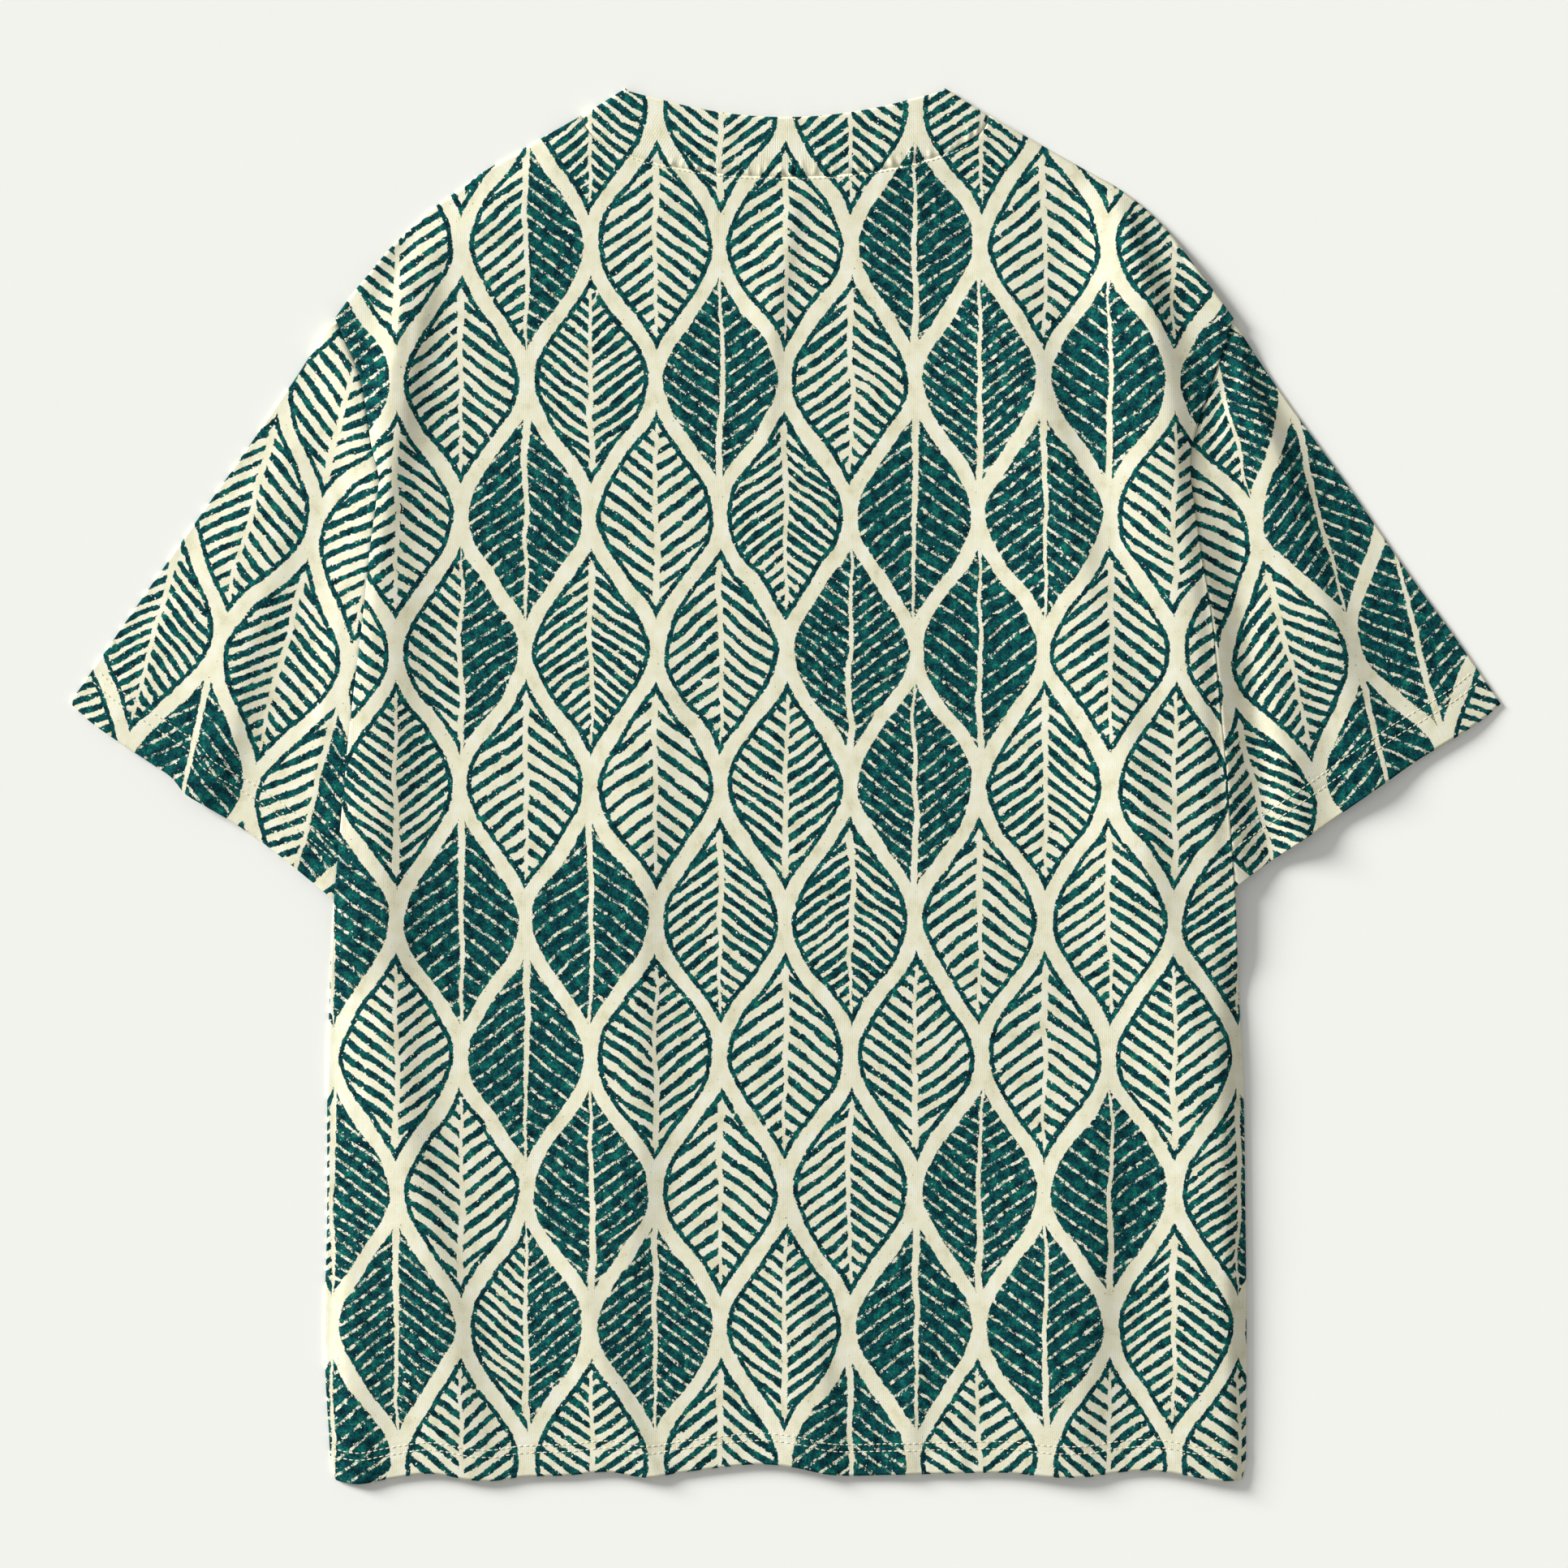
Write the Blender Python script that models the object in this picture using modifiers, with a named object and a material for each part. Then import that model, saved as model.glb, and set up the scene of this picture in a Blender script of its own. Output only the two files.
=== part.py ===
"""A short-sleeved T-shirt laid flat on its front, with its back upwards.

+Z is up and +Y points from the hem to the neck, so -X is on the left when the shirt is seen from above.
The origin is on the surface that the shirt lies on, at the middle of the space that it covers.

Every piece is one wall of cloth: the front lies flat, the back lies over it with its folds, each sleeve
is a flattened tube whose end is tucked into the armhole, and the collar is a band that goes round the
neck and folds over at both shoulders. The tables are in millimetres, and the meshes are in metres.
"""

import math

import bmesh
import bpy
import numpy as np

MM = 0.001

# Cloth, in millimetres
WALL = 1.2
RIB_WALL = 1.6
SEAM_GAP = 0.3
LEANING_SEAM_GAP = 0.6  # where the back's wall leans over the collar

# Neck
NECK_SEAM_HALF_WIDTH = 113.0
NECK_SEAM_SIDE_Y = 371.8
BACK_SEAM_DEPTH = 34.0
FRONT_SEAM_DEPTH = 95.0
NECK_EDGE_HALF_WIDTH = 88.6
NECK_EDGE_SIDE_Y = 387.2
BACK_EDGE_DEPTH = 16.2
FRONT_EDGE_DEPTH = 80.0
COLLAR_SKIN = 4.6  # height of the collar's upper face
COLLAR_SIDE = (0.72, 1.0)  # shares of its half width over which its outline comes in for the fold

# Heights above the surface, in millimetres
PLATEAU = 2.4  # underside of the back where no fold lifts it
SEAM_REST = WALL + SEAM_GAP  # underside of the back along its side and shoulder seams
NECK_REST = COLLAR_SKIN - RIB_WALL
SLEEVE_DEPTH = 3.0  # a flattened sleeve, from its lower face to its upper face
TUCK_REST = WALL + SEAM_GAP  # lower face of a sleeve where it is tucked into the body
LAP_REST = TUCK_REST + SLEEVE_DEPTH + SEAM_GAP  # underside of the back over a tucked sleeve

# How the edges round down, in millimetres
SIDE_ROUND = 13.0
SHOULDER_ROUND = 12.0
NECK_ROUND = 10.0
EDGE_INSET = 0.5
LAP_WIDTH = (22.0, 52.0)  # the back is at its full height over a tuck this wide, and back down by there
LAP_END_Y = (-118.0, -86.0)
SHOULDER_LAP = (205.0, 232.0)
COLLAR_LIFT = (113.0, 150.0)
STEP_DOWN = (3.0, 35.0)  # a sleeve comes down to the surface between these distances from the body
PUFF_IN = (2.0, 18.0)

# Half width of the body on each side: the side seam, then the armhole up to the shoulder point.
# y, half width
LEFT_EDGE = (
    (-390, 248.5), (-379, 251.8), (-356, 254.0), (-311, 256.2), (-244, 254.9), (-154, 254.5),
    (-109, 253.1), (-64, 250.6), (-37, 248.2), (31, 241.9), (95, 234.2), (132, 230.2), (156, 227.0),
    (169, 225.4), (186, 229.2), (203, 232.0), (220, 234.7), (231, 237.8), (243, 243.0), (258.5, 250.2),
)
RIGHT_EDGE = (
    (-390, 252.5), (-379, 255.2), (-356, 255.9), (-311, 256.2), (-244, 255.7), (-154, 254.0),
    (-109, 251.6), (-56, 249.5), (-34, 247.6), (11, 244.3), (42, 241.2), (95, 236.0), (133, 229.8),
    (153, 227.0), (172, 224.6), (186, 225.2), (201, 229.4), (225, 237.8), (243, 244.0), (258.5, 249.0),
)

# Shoulder lines.
# distance from the centre line, y
LEFT_SHOULDER = (
    (113, 371.8), (147.5, 352.6), (167, 341.3), (182.5, 330.1), (198, 318.8), (210.4, 307.6),
    (220.9, 296.3), (229.8, 285.1), (239.2, 273.8), (250.2, 258.5),
)
RIGHT_SHOULDER = (
    (113, 371.8), (147.5, 352.6), (167.5, 341.3), (187, 330.1), (201.5, 318.8), (212.5, 307.6),
    (221.2, 296.3), (229.4, 285.1), (238.0, 273.8), (249, 258.5),
)

# Hem, with the waves that its folds make.
# x, y
HEM = (
    (-258, -382.0), (-248, -385.6), (-238, -387.2), (-220, -384.4), (-196, -381.4), (-174, -385.0),
    (-165, -385.6), (-147, -383.4), (-120, -382.4), (-98, -380.4), (-76, -383.4), (-58, -380.9),
    (-39, -378.4), (-12, -376.2), (6, -378.0), (24, -381.8), (60, -382.0), (104, -381.0), (123, -380.8),
    (150, -383.2), (168, -383.0), (186, -380.6), (199, -379.6), (213, -380.6), (231, -383.8),
    (244, -385.2), (258, -384.0),
)

# Folds of the back. Each runs from its upper end to its lower end, bows out to the right of the straight
# line between them, and fades in and out over the given shares of its length.
# x0, y0, x1, y1, bow, width on the left, width on the right, height, fade in, fade out
BACK_FOLDS = (
    (-197, 301, -188, -372, -32, 27, 17, 7.5, 0.20, 0.22),
    (-236, -228, -226, -392, 2, 17, 11, 3.6, 0.45, 0.00),
    (-50, 184, -80, -330, -14, 26, 17, 3.0, 0.35, 0.30),
    (-3, 338, -18, 160, 0, 13, 9, 2.6, 0.02, 0.60),
    (113, 312, 236, -215, 6, 20, 13, 6.5, 0.38, 0.25),
    (186, 322, 244, -60, 9, 22, 14, 6.5, 0.18, 0.35),
    (168, -150, 156, -392, 2, 22, 13, 4.8, 0.35, 0.00),
    (-15, -195, 15, -392, 3, 18, 9, 3.8, 0.40, 0.00),
    (-123, -248, -74, -392, -3, 14, 8, 3.4, 0.40, 0.00),
    (73, -300, 62, -392, 0, 10, 8, 2.2, 0.50, 0.00),
    (234, -120, 236, -392, 0, 26, 14, 2.6, 0.30, 0.00),
    (-206, 296, -236, 214, 2, 7, 6, 1.6, 0.35, 0.40),
)

# Folds of the sleeves, as above.
LEFT_SLEEVE_FOLDS = (
    (-264, 222, -330, -14, 4, 16, 11, 4.4, 0.35, 0.00),
    (-243, 140, -277, -52, 3, 14, 9, 2.8, 0.40, 0.00),
)
RIGHT_SLEEVE_FOLDS = (
    (246, 250, 325, -8, 5, 20, 11, 5.4, 0.20, 0.00),
    (264, 82, 297, -30, 2, 14, 9, 2.6, 0.40, 0.00),
)

# Sleeves. The cuff's hidden corner lies under the body's side.
CUFF_CORNERS = {"left": ((-396.9, 46.0), (-241.5, -71.5)), "right": ((396.9, 45.4), (241.5, -63.0))}
TUCKED_TOP_Y = 257.8
TUCKED_BOTTOM_Y = -28.0
TUCK = (1.6, 15.0)  # how far the sleeve reaches into the body, at the shoulder and at the underarm
TUCK_GROWS = (0.15, 0.75)  # between these shares of the armhole

# How far the folded edge over the arm bows out of a straight line.
# share of the way from armhole to cuff, bow
OVER_ARM = {
    "left": ((0, 0.2), (0.02, 2.3), (0.06, 2.3), (0.12, 1.6), (0.22, 1.1), (0.75, 0.8), (1, 0.3)),
    "right": ((0, 0.1), (0.02, 0.9), (0.06, 0.7), (0.16, 0.1), (0.45, 0.7), (0.66, 0.2), (0.82, 0.9),
              (1, 0.4)),
}

# How far each cuff reaches past a straight line.
# share of the way from its outer corner to its hidden one, reach
CUFF_WAVES = {
    "left": ((0, 0), (0.07, 1.4), (0.18, 0.8), (0.30, -0.6), (0.36, -1.2), (0.42, 1.4), (0.48, 0.3),
             (0.59, -2.0), (0.71, -2.8), (0.88, -1.8), (1, -0.8)),
    "right": ((0, 0), (0.06, 1.2), (0.17, 0.8), (0.29, -0.8), (0.41, -0.9), (0.64, -0.9), (0.87, -1.6),
              (1, -1.0)),
}
SLEEVE_EDGE_PUFF = 1.8
SLEEVE_EDGE_PUFF_WIDTH = (6.0, 34.0)
SLEEVE_EDGE_FLAT = 12.0  # folds fade out this near to a folded edge

# How finely each piece is divided
EDGE_COLUMNS = (0, 3, 8, 15, 24, 34, 45, 57, 69, 81, 92, 103, 114, 125)
NECK_COLUMNS = 24
EDGE_ROWS = (0.0, 0.012, 0.034)
MIDDLE_ROWS = 31
TOP_ROWS = (0.968, 0.987, 0.996, 1.0)
FRONT_NECK_POINTS = 26
HEM_POINTS = 72
SIDE_POINTS = 34
SHOULDER_POINTS = 18
SLEEVE_ACROSS = (0.0, 0.02, 0.06, 0.13, 0.21, 0.30, 0.39, 0.48, 0.57, 0.67, 0.77, 0.88, 1.0)
SLEEVE_ALONG = (0.0, 0.03, 0.07, 0.12, 0.19, 0.27, 0.36, 0.46, 0.56, 0.67, 0.78, 0.89, 1.0)
FOLD_TURN = (-45, 0, 45)  # degrees round a folded edge, between its two flat sides
COLLAR_TURN = (60, 30, 0, -30, -60)

# The print's dark teal and warm cream, mixed
PRINTED_COTTON = (0.50, 0.50, 0.37)
COTTON_ROUGHNESS = 0.85


def through(table):
    """A smooth curve through a table of (place, value) rows, as a function of the place."""
    at, value = np.array(table, float).T
    steps = np.diff(at)
    slopes = np.diff(value) / steps
    tangents = np.empty(len(at))
    tangents[0], tangents[-1] = slopes[0], slopes[-1]
    tangents[1:-1] = (slopes[:-1] * steps[1:] + slopes[1:] * steps[:-1]) / (steps[1:] + steps[:-1])

    def curve(place):
        place = np.clip(place, at[0], at[-1])
        i = np.clip(np.searchsorted(at, place, side="right") - 1, 0, len(steps) - 1)
        h = steps[i]
        t = (place - at[i]) / h
        rise = (1 + 2 * t) * (1 - t) ** 2 * value[i] + t * t * (3 - 2 * t) * value[i + 1]
        return rise + h * (t * (1 - t) ** 2 * tangents[i] - t * t * (1 - t) * tangents[i + 1])

    return curve


left_edge = through(LEFT_EDGE)
right_edge = through(RIGHT_EDGE)
left_shoulder = through(LEFT_SHOULDER)
right_shoulder = through(RIGHT_SHOULDER)
hem = through(HEM)


def smooth_step(low, high, value):
    """0 below low, 1 above high, and a smooth rise between them."""
    t = np.clip((value - low) / (high - low), 0, 1)
    return t * t * (3 - 2 * t)


def rounding(distance, width):
    """A quarter of an ellipse: 0 at an edge, and 1 from that width inwards."""
    t = np.clip(distance / width, 0, 1)
    return np.sqrt(1 - (1 - t) ** 2)


def half_width(x, y):
    """Half width of the body at y, on the side that x is on."""
    return np.where(np.asarray(x) < 0, left_edge(y), right_edge(y))


def shoulder(x):
    """Height up the page of the shoulder line, on the side that x is on."""
    return np.where(np.asarray(x) < 0, left_shoulder(np.abs(x)), right_shoulder(np.abs(x)))


def neck_seam(x, depth):
    """The seam between body and collar, of that depth below its ends."""
    across = np.clip(np.abs(x) / NECK_SEAM_HALF_WIDTH, 0, 1)
    return NECK_SEAM_SIDE_Y - depth * np.sqrt(1 - across**2)


def top_edge(x):
    """The back's upper edge: a shoulder, the neck seam, and the other shoulder."""
    return np.where(np.abs(x) < NECK_SEAM_HALF_WIDTH, neck_seam(x, BACK_SEAM_DEPTH), shoulder(x))


def fold_heights(x, y, folds):
    """How high the folds of a table lift the cloth."""
    total = np.zeros_like(x)
    for x0, y0, x1, y1, bow, left, right, height, fade_in, fade_out in folds:
        length = math.hypot(x1 - x0, y1 - y0)
        along = ((x - x0) * (x1 - x0) + (y - y0) * (y1 - y0)) / length**2
        aside = ((y - y0) * (x1 - x0) - (x - x0) * (y1 - y0)) / length
        aside = aside - bow * 4 * along * (1 - along)
        crest = np.exp(-((aside / np.where(aside < 0, left, right)) ** 2))
        ends = smooth_step(0, max(fade_in, 0.01), along) * smooth_step(0, max(fade_out, 0.01), 1 - along)
        total = total + height * crest * ends
    return total


def back_underside(x, y):
    """Height of the back's lower face."""
    away = np.abs(x)
    aside = half_width(x, y) - away
    slope = (shoulder(x + 1) - shoulder(x - 1)) / 2
    below = (top_edge(x) - y) / np.hypot(1, slope)

    lapped = smooth_step(*LAP_END_Y, y)
    over_tuck = lapped * (1 - smooth_step(*LAP_WIDTH, aside))
    lowest = PLATEAU + (LAP_REST - PLATEAU) * over_tuck
    height = np.maximum(PLATEAU + fold_heights(x, y, BACK_FOLDS), lowest)

    side_rest = SEAM_REST + (LAP_REST - SEAM_REST) * lapped
    height = side_rest + (height - side_rest) * rounding(aside, SIDE_ROUND)

    collar_rest = SEAM_REST + (NECK_REST - SEAM_REST) * (1 - smooth_step(*COLLAR_LIFT, away))
    top_rest = collar_rest + (LAP_REST - SEAM_REST) * smooth_step(*SHOULDER_LAP, away)
    round_width = np.where(away < NECK_SEAM_HALF_WIDTH, NECK_ROUND, SHOULDER_ROUND)
    return top_rest + (height - top_rest) * rounding(below, round_width)


def neck_columns():
    """x of the columns that end at the neck seam, closer together near its ends."""
    share = np.linspace(0, 1, NECK_COLUMNS + 1)
    even, round_it = 1 - 2 * share, np.cos(math.pi * share)
    return -NECK_SEAM_HALF_WIDTH * (even + round_it) / 2


def back_grid():
    """x and y of the back's points, a row for each step from the hem to the top edge."""
    left_x, shoulder_y = LEFT_SHOULDER[-1]
    right_x = RIGHT_SHOULDER[-1][0]
    edge = np.array(EDGE_COLUMNS, float)
    top_x = np.concatenate([edge - left_x, neck_columns(), (right_x - edge)[::-1]])
    share_across = (top_x + left_x) / (left_x + right_x)
    middle = np.linspace(EDGE_ROWS[-1], TOP_ROWS[0], MIDDLE_ROWS + 1)[1:-1]
    share_up = np.concatenate([EDGE_ROWS, middle, TOP_ROWS])

    side_y = hem(-LEFT_EDGE[0][1]) + (shoulder_y - hem(-LEFT_EDGE[0][1])) * share_up
    left = -left_edge(side_y) + EDGE_INSET
    right = right_edge(side_y) - EDGE_INSET
    x = left[:, None] + (right - left)[:, None] * share_across[None, :]
    low, high = hem(x[0]), top_edge(top_x)
    y = low[None, :] + (high - low)[None, :] * share_up[:, None]
    x[-1] = np.where(np.abs(top_x) <= NECK_SEAM_HALF_WIDTH, top_x, x[-1])
    return x, y


def mesh_object(name, rows, closed_across=False):
    """An object whose mesh joins rows of points, in millimetres, by quads."""
    bm = bmesh.new()
    vertices = [[bm.verts.new([c * MM for c in point]) for point in row] for row in rows]
    across = len(rows[0])
    for lower, upper in zip(vertices[:-1], vertices[1:]):
        for i in range(across if closed_across else across - 1):
            j = (i + 1) % across
            bm.faces.new((lower[i], lower[j], upper[j], upper[i]))
    mesh = bpy.data.meshes.new(name)
    bm.to_mesh(mesh)
    bm.free()
    return add_to_shirt(bpy.data.objects.new(name, mesh))


def add_to_shirt(piece):
    """Puts a piece in the shirt's collection, with a cotton material of its own."""
    bpy.data.collections["t_shirt"].objects.link(piece)
    material = bpy.data.materials.new(piece.name + "_cotton")
    material.use_nodes = True
    shader = material.node_tree.nodes["Principled BSDF"]
    shader.inputs["Base Color"].default_value = (*PRINTED_COTTON, 1.0)
    shader.inputs["Roughness"].default_value = COTTON_ROUGHNESS
    shader.inputs["Metallic"].default_value = 0.0
    piece.data.materials.append(material)
    return piece


def give_wall(piece, thickness, side):
    """Makes an open surface a wall of cloth: side is 1 to add it outwards and -1 inwards."""
    wall = piece.modifiers.new("wall", "SOLIDIFY")
    wall.thickness = thickness * MM
    wall.offset = side
    wall.use_even_offset = False
    wall.use_rim = True
    piece.data.shade_smooth()


def make_back():
    x, y = back_grid()
    z = back_underside(x, y)
    back = mesh_object("back", np.stack([x, y, z], axis=-1))
    give_wall(back, WALL, 1)


def make_front():
    """The front is a flat outline: hem, right side, right shoulder, front neck, and back down the left."""
    left_x, shoulder_y = LEFT_SHOULDER[-1]
    right_x = RIGHT_SHOULDER[-1][0]
    low_left, low_right = -LEFT_EDGE[0][1], RIGHT_EDGE[0][1]
    outline = [(x, hem(x)) for x in np.linspace(low_left, low_right, HEM_POINTS)]
    outline += [(right_edge(y), y) for y in np.linspace(hem(low_right), shoulder_y, SIDE_POINTS)[1:]]
    outline += [(x, shoulder(x)) for x in np.linspace(right_x, NECK_SEAM_HALF_WIDTH, SHOULDER_POINTS)[1:]]
    for angle in np.linspace(0, math.pi, FRONT_NECK_POINTS + 1)[1:-1]:
        across = NECK_SEAM_HALF_WIDTH * math.cos(angle)
        outline.append((across, NECK_SEAM_SIDE_Y - FRONT_SEAM_DEPTH * math.sin(angle)))
    outline += [(x, shoulder(x)) for x in np.linspace(-NECK_SEAM_HALF_WIDTH, -left_x, SHOULDER_POINTS)]
    outline += [(-left_edge(y), y) for y in np.linspace(shoulder_y, hem(low_left), SIDE_POINTS)[1:-1]]

    curve = bpy.data.curves.new("front", "CURVE")
    curve.dimensions = "2D"
    curve.fill_mode = "BOTH"
    curve.extrude = WALL * MM / 2
    spline = curve.splines.new("POLY")
    spline.points.add(len(outline) - 1)
    for point, (x, y) in zip(spline.points, outline):
        point.co = (x * MM, y * MM, 0, 1)
    spline.use_cyclic_u = True
    front = add_to_shirt(bpy.data.objects.new("front", curve))
    front.location.z = WALL * MM / 2


def sleeve_faces(x, y, from_fold, folds):
    """Heights of a sleeve's lower and upper face at points that are from_fold inside its outer edge."""
    outside = np.abs(x) - half_width(x, y)
    low = TUCK_REST * (1 - smooth_step(*STEP_DOWN, outside))
    edge = smooth_step(0, SLEEVE_EDGE_PUFF_WIDTH[0], from_fold)
    edge = edge * (1 - smooth_step(*SLEEVE_EDGE_PUFF_WIDTH, from_fold))
    lift = SLEEVE_EDGE_PUFF * edge + fold_heights(x, y, folds) * smooth_step(0, SLEEVE_EDGE_FLAT, from_fold)
    return low, low + SLEEVE_DEPTH + lift * smooth_step(*PUFF_IN, outside)


def make_sleeve(side, folds):
    """A flattened tube, built as rings from the armhole to the cuff round its outer skin."""
    sign = -1 if side == "left" else 1
    edge = left_edge if side == "left" else right_edge
    across = np.array(SLEEVE_ACROSS)
    tuck_y = TUCKED_TOP_Y + (TUCKED_BOTTOM_Y - TUCKED_TOP_Y) * across
    tuck = TUCK[0] + (TUCK[1] - TUCK[0]) * smooth_step(*TUCK_GROWS, across)
    armhole = np.stack([sign * (edge(tuck_y) - tuck), tuck_y], axis=-1)
    corner, hidden_corner = (np.array(c) for c in CUFF_CORNERS[side])
    over_arm = square_to(corner - armhole[0], armhole[0] - armhole[-1])
    under_arm = square_to(hidden_corner - armhole[-1], hidden_corner - corner)
    past_cuff = square_to(hidden_corner - corner, corner - armhole[0])
    cuff = corner + (hidden_corner - corner) * across[:, None]
    cuff += past_cuff * through(CUFF_WAVES[side])(across)[:, None]
    bow = through(OVER_ARM[side])
    rings = []
    for along in SLEEVE_ALONG:
        line = armhole + (cuff - armhole) * along
        line += over_arm * bow(along) * (1 - across[:, None]) ** 2
        from_fold = np.linalg.norm(line - line[0], axis=1)
        from_under_arm = np.linalg.norm(line - line[-1], axis=1)
        low, high = sleeve_faces(line[:, 0], line[:, 1], np.minimum(from_fold, from_under_arm), folds)
        line[0] -= over_arm * (high[0] - low[0]) / 2
        line[-1] -= under_arm * (high[-1] - low[-1]) / 2
        ring = [(*p, z) for p, z in zip(line, low)]
        ring += turn_round(line[-1], under_arm, low[-1], high[-1], FOLD_TURN)
        ring += [(*p, z) for p, z in zip(line[::-1], high[::-1])]
        ring += turn_round(line[0], over_arm, low[0], high[0], FOLD_TURN[::-1])
        rings.append(ring if side == "left" else ring[::-1])
    sleeve = mesh_object("sleeve_" + side, rings, closed_across=True)
    give_wall(sleeve, WALL, -1)


def square_to(edge, towards):
    """The unit direction at right angles to an edge that points the way of towards."""
    square = np.array([edge[1], -edge[0]]) / np.linalg.norm(edge)
    return square * np.sign(square @ towards)


def turn_round(place, outwards, low, high, angles):
    """Points round a folded edge, between a lower and an upper face that end at place."""
    radius, middle = (high - low) / 2, (high + low) / 2
    points = []
    for degrees in angles:
        angle = math.radians(degrees)
        reach = radius * math.cos(angle)
        points.append((*(place + outwards * reach), middle + radius * math.sin(angle)))
    return points


def make_collar():
    """A band with its inner edge at the neckline: across the back, over a shoulder, round the front."""
    radius = COLLAR_SKIN / 2
    share = -neck_columns() / NECK_SEAM_HALF_WIDTH
    back = [collar_line(s, BACK_SEAM_DEPTH, BACK_EDGE_DEPTH, LEANING_SEAM_GAP, 1 - s**2) for s in share]
    turns = np.linspace(0, math.pi, FRONT_NECK_POINTS + 1)
    front = [
        collar_line(math.cos(t), FRONT_SEAM_DEPTH, FRONT_EDGE_DEPTH, SEAM_GAP, math.sin(t)) for t in turns
    ]

    stations = [[(*p, COLLAR_SKIN) for p in line] for line in back]
    stations += fold_over(back[-1], 1, radius, COLLAR_TURN)
    stations += [[(*p, 0.0) for p in line] for line in front[::-1]]
    stations += fold_over(back[0], -1, radius, COLLAR_TURN[::-1])
    rows = [[station[i] for station in stations] for i in range(len(stations[0]))]
    collar = mesh_object("collar", rows, closed_across=True)
    give_wall(collar, RIB_WALL, -1)


def collar_line(share, seam_depth, edge_depth, seam_gap, edge_dip):
    """Points across the collar's band, from its seam to its edge; share runs from 1, left, to -1, right."""
    x = -share * NECK_SEAM_HALF_WIDTH
    seam = np.array([x, float(neck_seam(x, seam_depth))])
    edge = np.array([-share * NECK_EDGE_HALF_WIDTH, NECK_EDGE_SIDE_Y - edge_depth * edge_dip])
    across = (edge - seam) / np.linalg.norm(edge - seam)
    # The fold line at the shoulder lies inside the outline by the radius of the fold.
    ends = smooth_step(*COLLAR_SIDE, abs(share)) * COLLAR_SKIN / 2
    inside = np.array([across[1] * np.sign(share), -across[0] * np.sign(share)]) * ends
    seam = seam + across * seam_gap + inside
    edge = edge + inside
    return [seam, (seam + edge) / 2, edge]


def fold_over(line, side, radius, angles):
    """Stations of the band round its fold at a shoulder: side is 1 on the right and -1 on the left."""
    along = line[-1] - line[0]
    along = along / np.linalg.norm(along)
    outwards = np.array([along[1], -along[0]]) * side
    found = []
    for degrees in angles:
        angle = math.radians(degrees)
        shift = outwards * radius * math.cos(angle)
        found.append([(*(p + shift), radius + radius * math.sin(angle)) for p in line])
    return found


def main():
    for old in list(bpy.data.objects):
        bpy.data.objects.remove(old)
    bpy.context.scene.collection.children.link(bpy.data.collections.new("t_shirt"))
    make_front()
    make_sleeve("left", LEFT_SLEEVE_FOLDS)
    make_sleeve("right", RIGHT_SLEEVE_FOLDS)
    make_back()
    make_collar()


main()
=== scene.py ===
"""The looks of a T-shirt that lies flat on its front, with its back upwards.

Each piece of cloth is a thin closed shell on the form of its solid, with the finer folds, puckers and
sewing that the solids leave out. +Z is up and +Y points from the hem to the neck. Sizes are in
millimetres where nothing else is said, and the meshes are in metres.
"""

import math

import bpy
import numpy as np
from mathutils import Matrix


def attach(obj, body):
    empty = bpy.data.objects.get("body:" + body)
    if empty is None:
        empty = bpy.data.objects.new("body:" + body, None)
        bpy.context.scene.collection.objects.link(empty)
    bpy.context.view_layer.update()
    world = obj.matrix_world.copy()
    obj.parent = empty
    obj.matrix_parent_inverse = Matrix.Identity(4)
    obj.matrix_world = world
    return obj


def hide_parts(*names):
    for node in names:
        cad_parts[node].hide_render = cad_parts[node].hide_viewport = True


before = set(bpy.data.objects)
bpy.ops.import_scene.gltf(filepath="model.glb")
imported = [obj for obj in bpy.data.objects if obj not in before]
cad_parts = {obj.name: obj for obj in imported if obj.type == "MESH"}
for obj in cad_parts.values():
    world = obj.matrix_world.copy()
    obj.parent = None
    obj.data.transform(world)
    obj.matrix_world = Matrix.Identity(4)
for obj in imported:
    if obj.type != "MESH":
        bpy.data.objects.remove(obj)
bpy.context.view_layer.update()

MM = 0.001
BODY = "root"

# Cloth
WALL = 0.6
RIB_WALL = 1.2
SOLID_WALL = 1.2  # the solids' wall, which sets where each layer rests
SEAM_GAP = 0.3

# Neck
NECK_SEAM_HALF_WIDTH = 113.0
NECK_SEAM_SIDE_Y = 371.8
BACK_SEAM_DEPTH = 34.0
FRONT_SEAM_DEPTH = 95.0
NECK_EDGE_HALF_WIDTH = 88.6
NECK_EDGE_SIDE_Y = 387.2
BACK_EDGE_DEPTH = 16.2
FRONT_EDGE_DEPTH = 80.0
COLLAR_SKIN = 4.6
COLLAR_SIDE = (0.72, 1.0)
COLLAR_REST = 0.05

# The rib goes under the back's edge at the neck seam, and rises from it to the neckline.
# distance from the seam, height of the rib's upper face
RIB_RISE = ((-3.2, 3.1), (0.0, 3.15), (0.5, 3.5), (1.2, 3.85), (2.4, 4.0), (12.0, 4.6), (19.0, 4.6))
RIB_UNDER = 3.2
RIB_UNDER_ENDS = (0.86, 0.98)
RIB_EDGE_ROUND = (1.4, 0.9)  # how the neckline rounds over: width, drop

# Puckers where the rib is eased on to the back's neck
PUCKERS_FROM_TO = (-66.0, 108.0)
PUCKER_STEP = (3.0, 6.6)
PUCKER_HEIGHT = (0.3, 1.2)
PUCKER_LENGTH = (5.0, 11.0)
PUCKER_SLANT = (-0.34, 0.34)
PUCKER_WIDTH = (0.9, 1.8)
PUCKER_STARTS = 1.2
PUCKER_FADES_FROM = 0.3  # share of its length
PUCKER_SEED = 11

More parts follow.
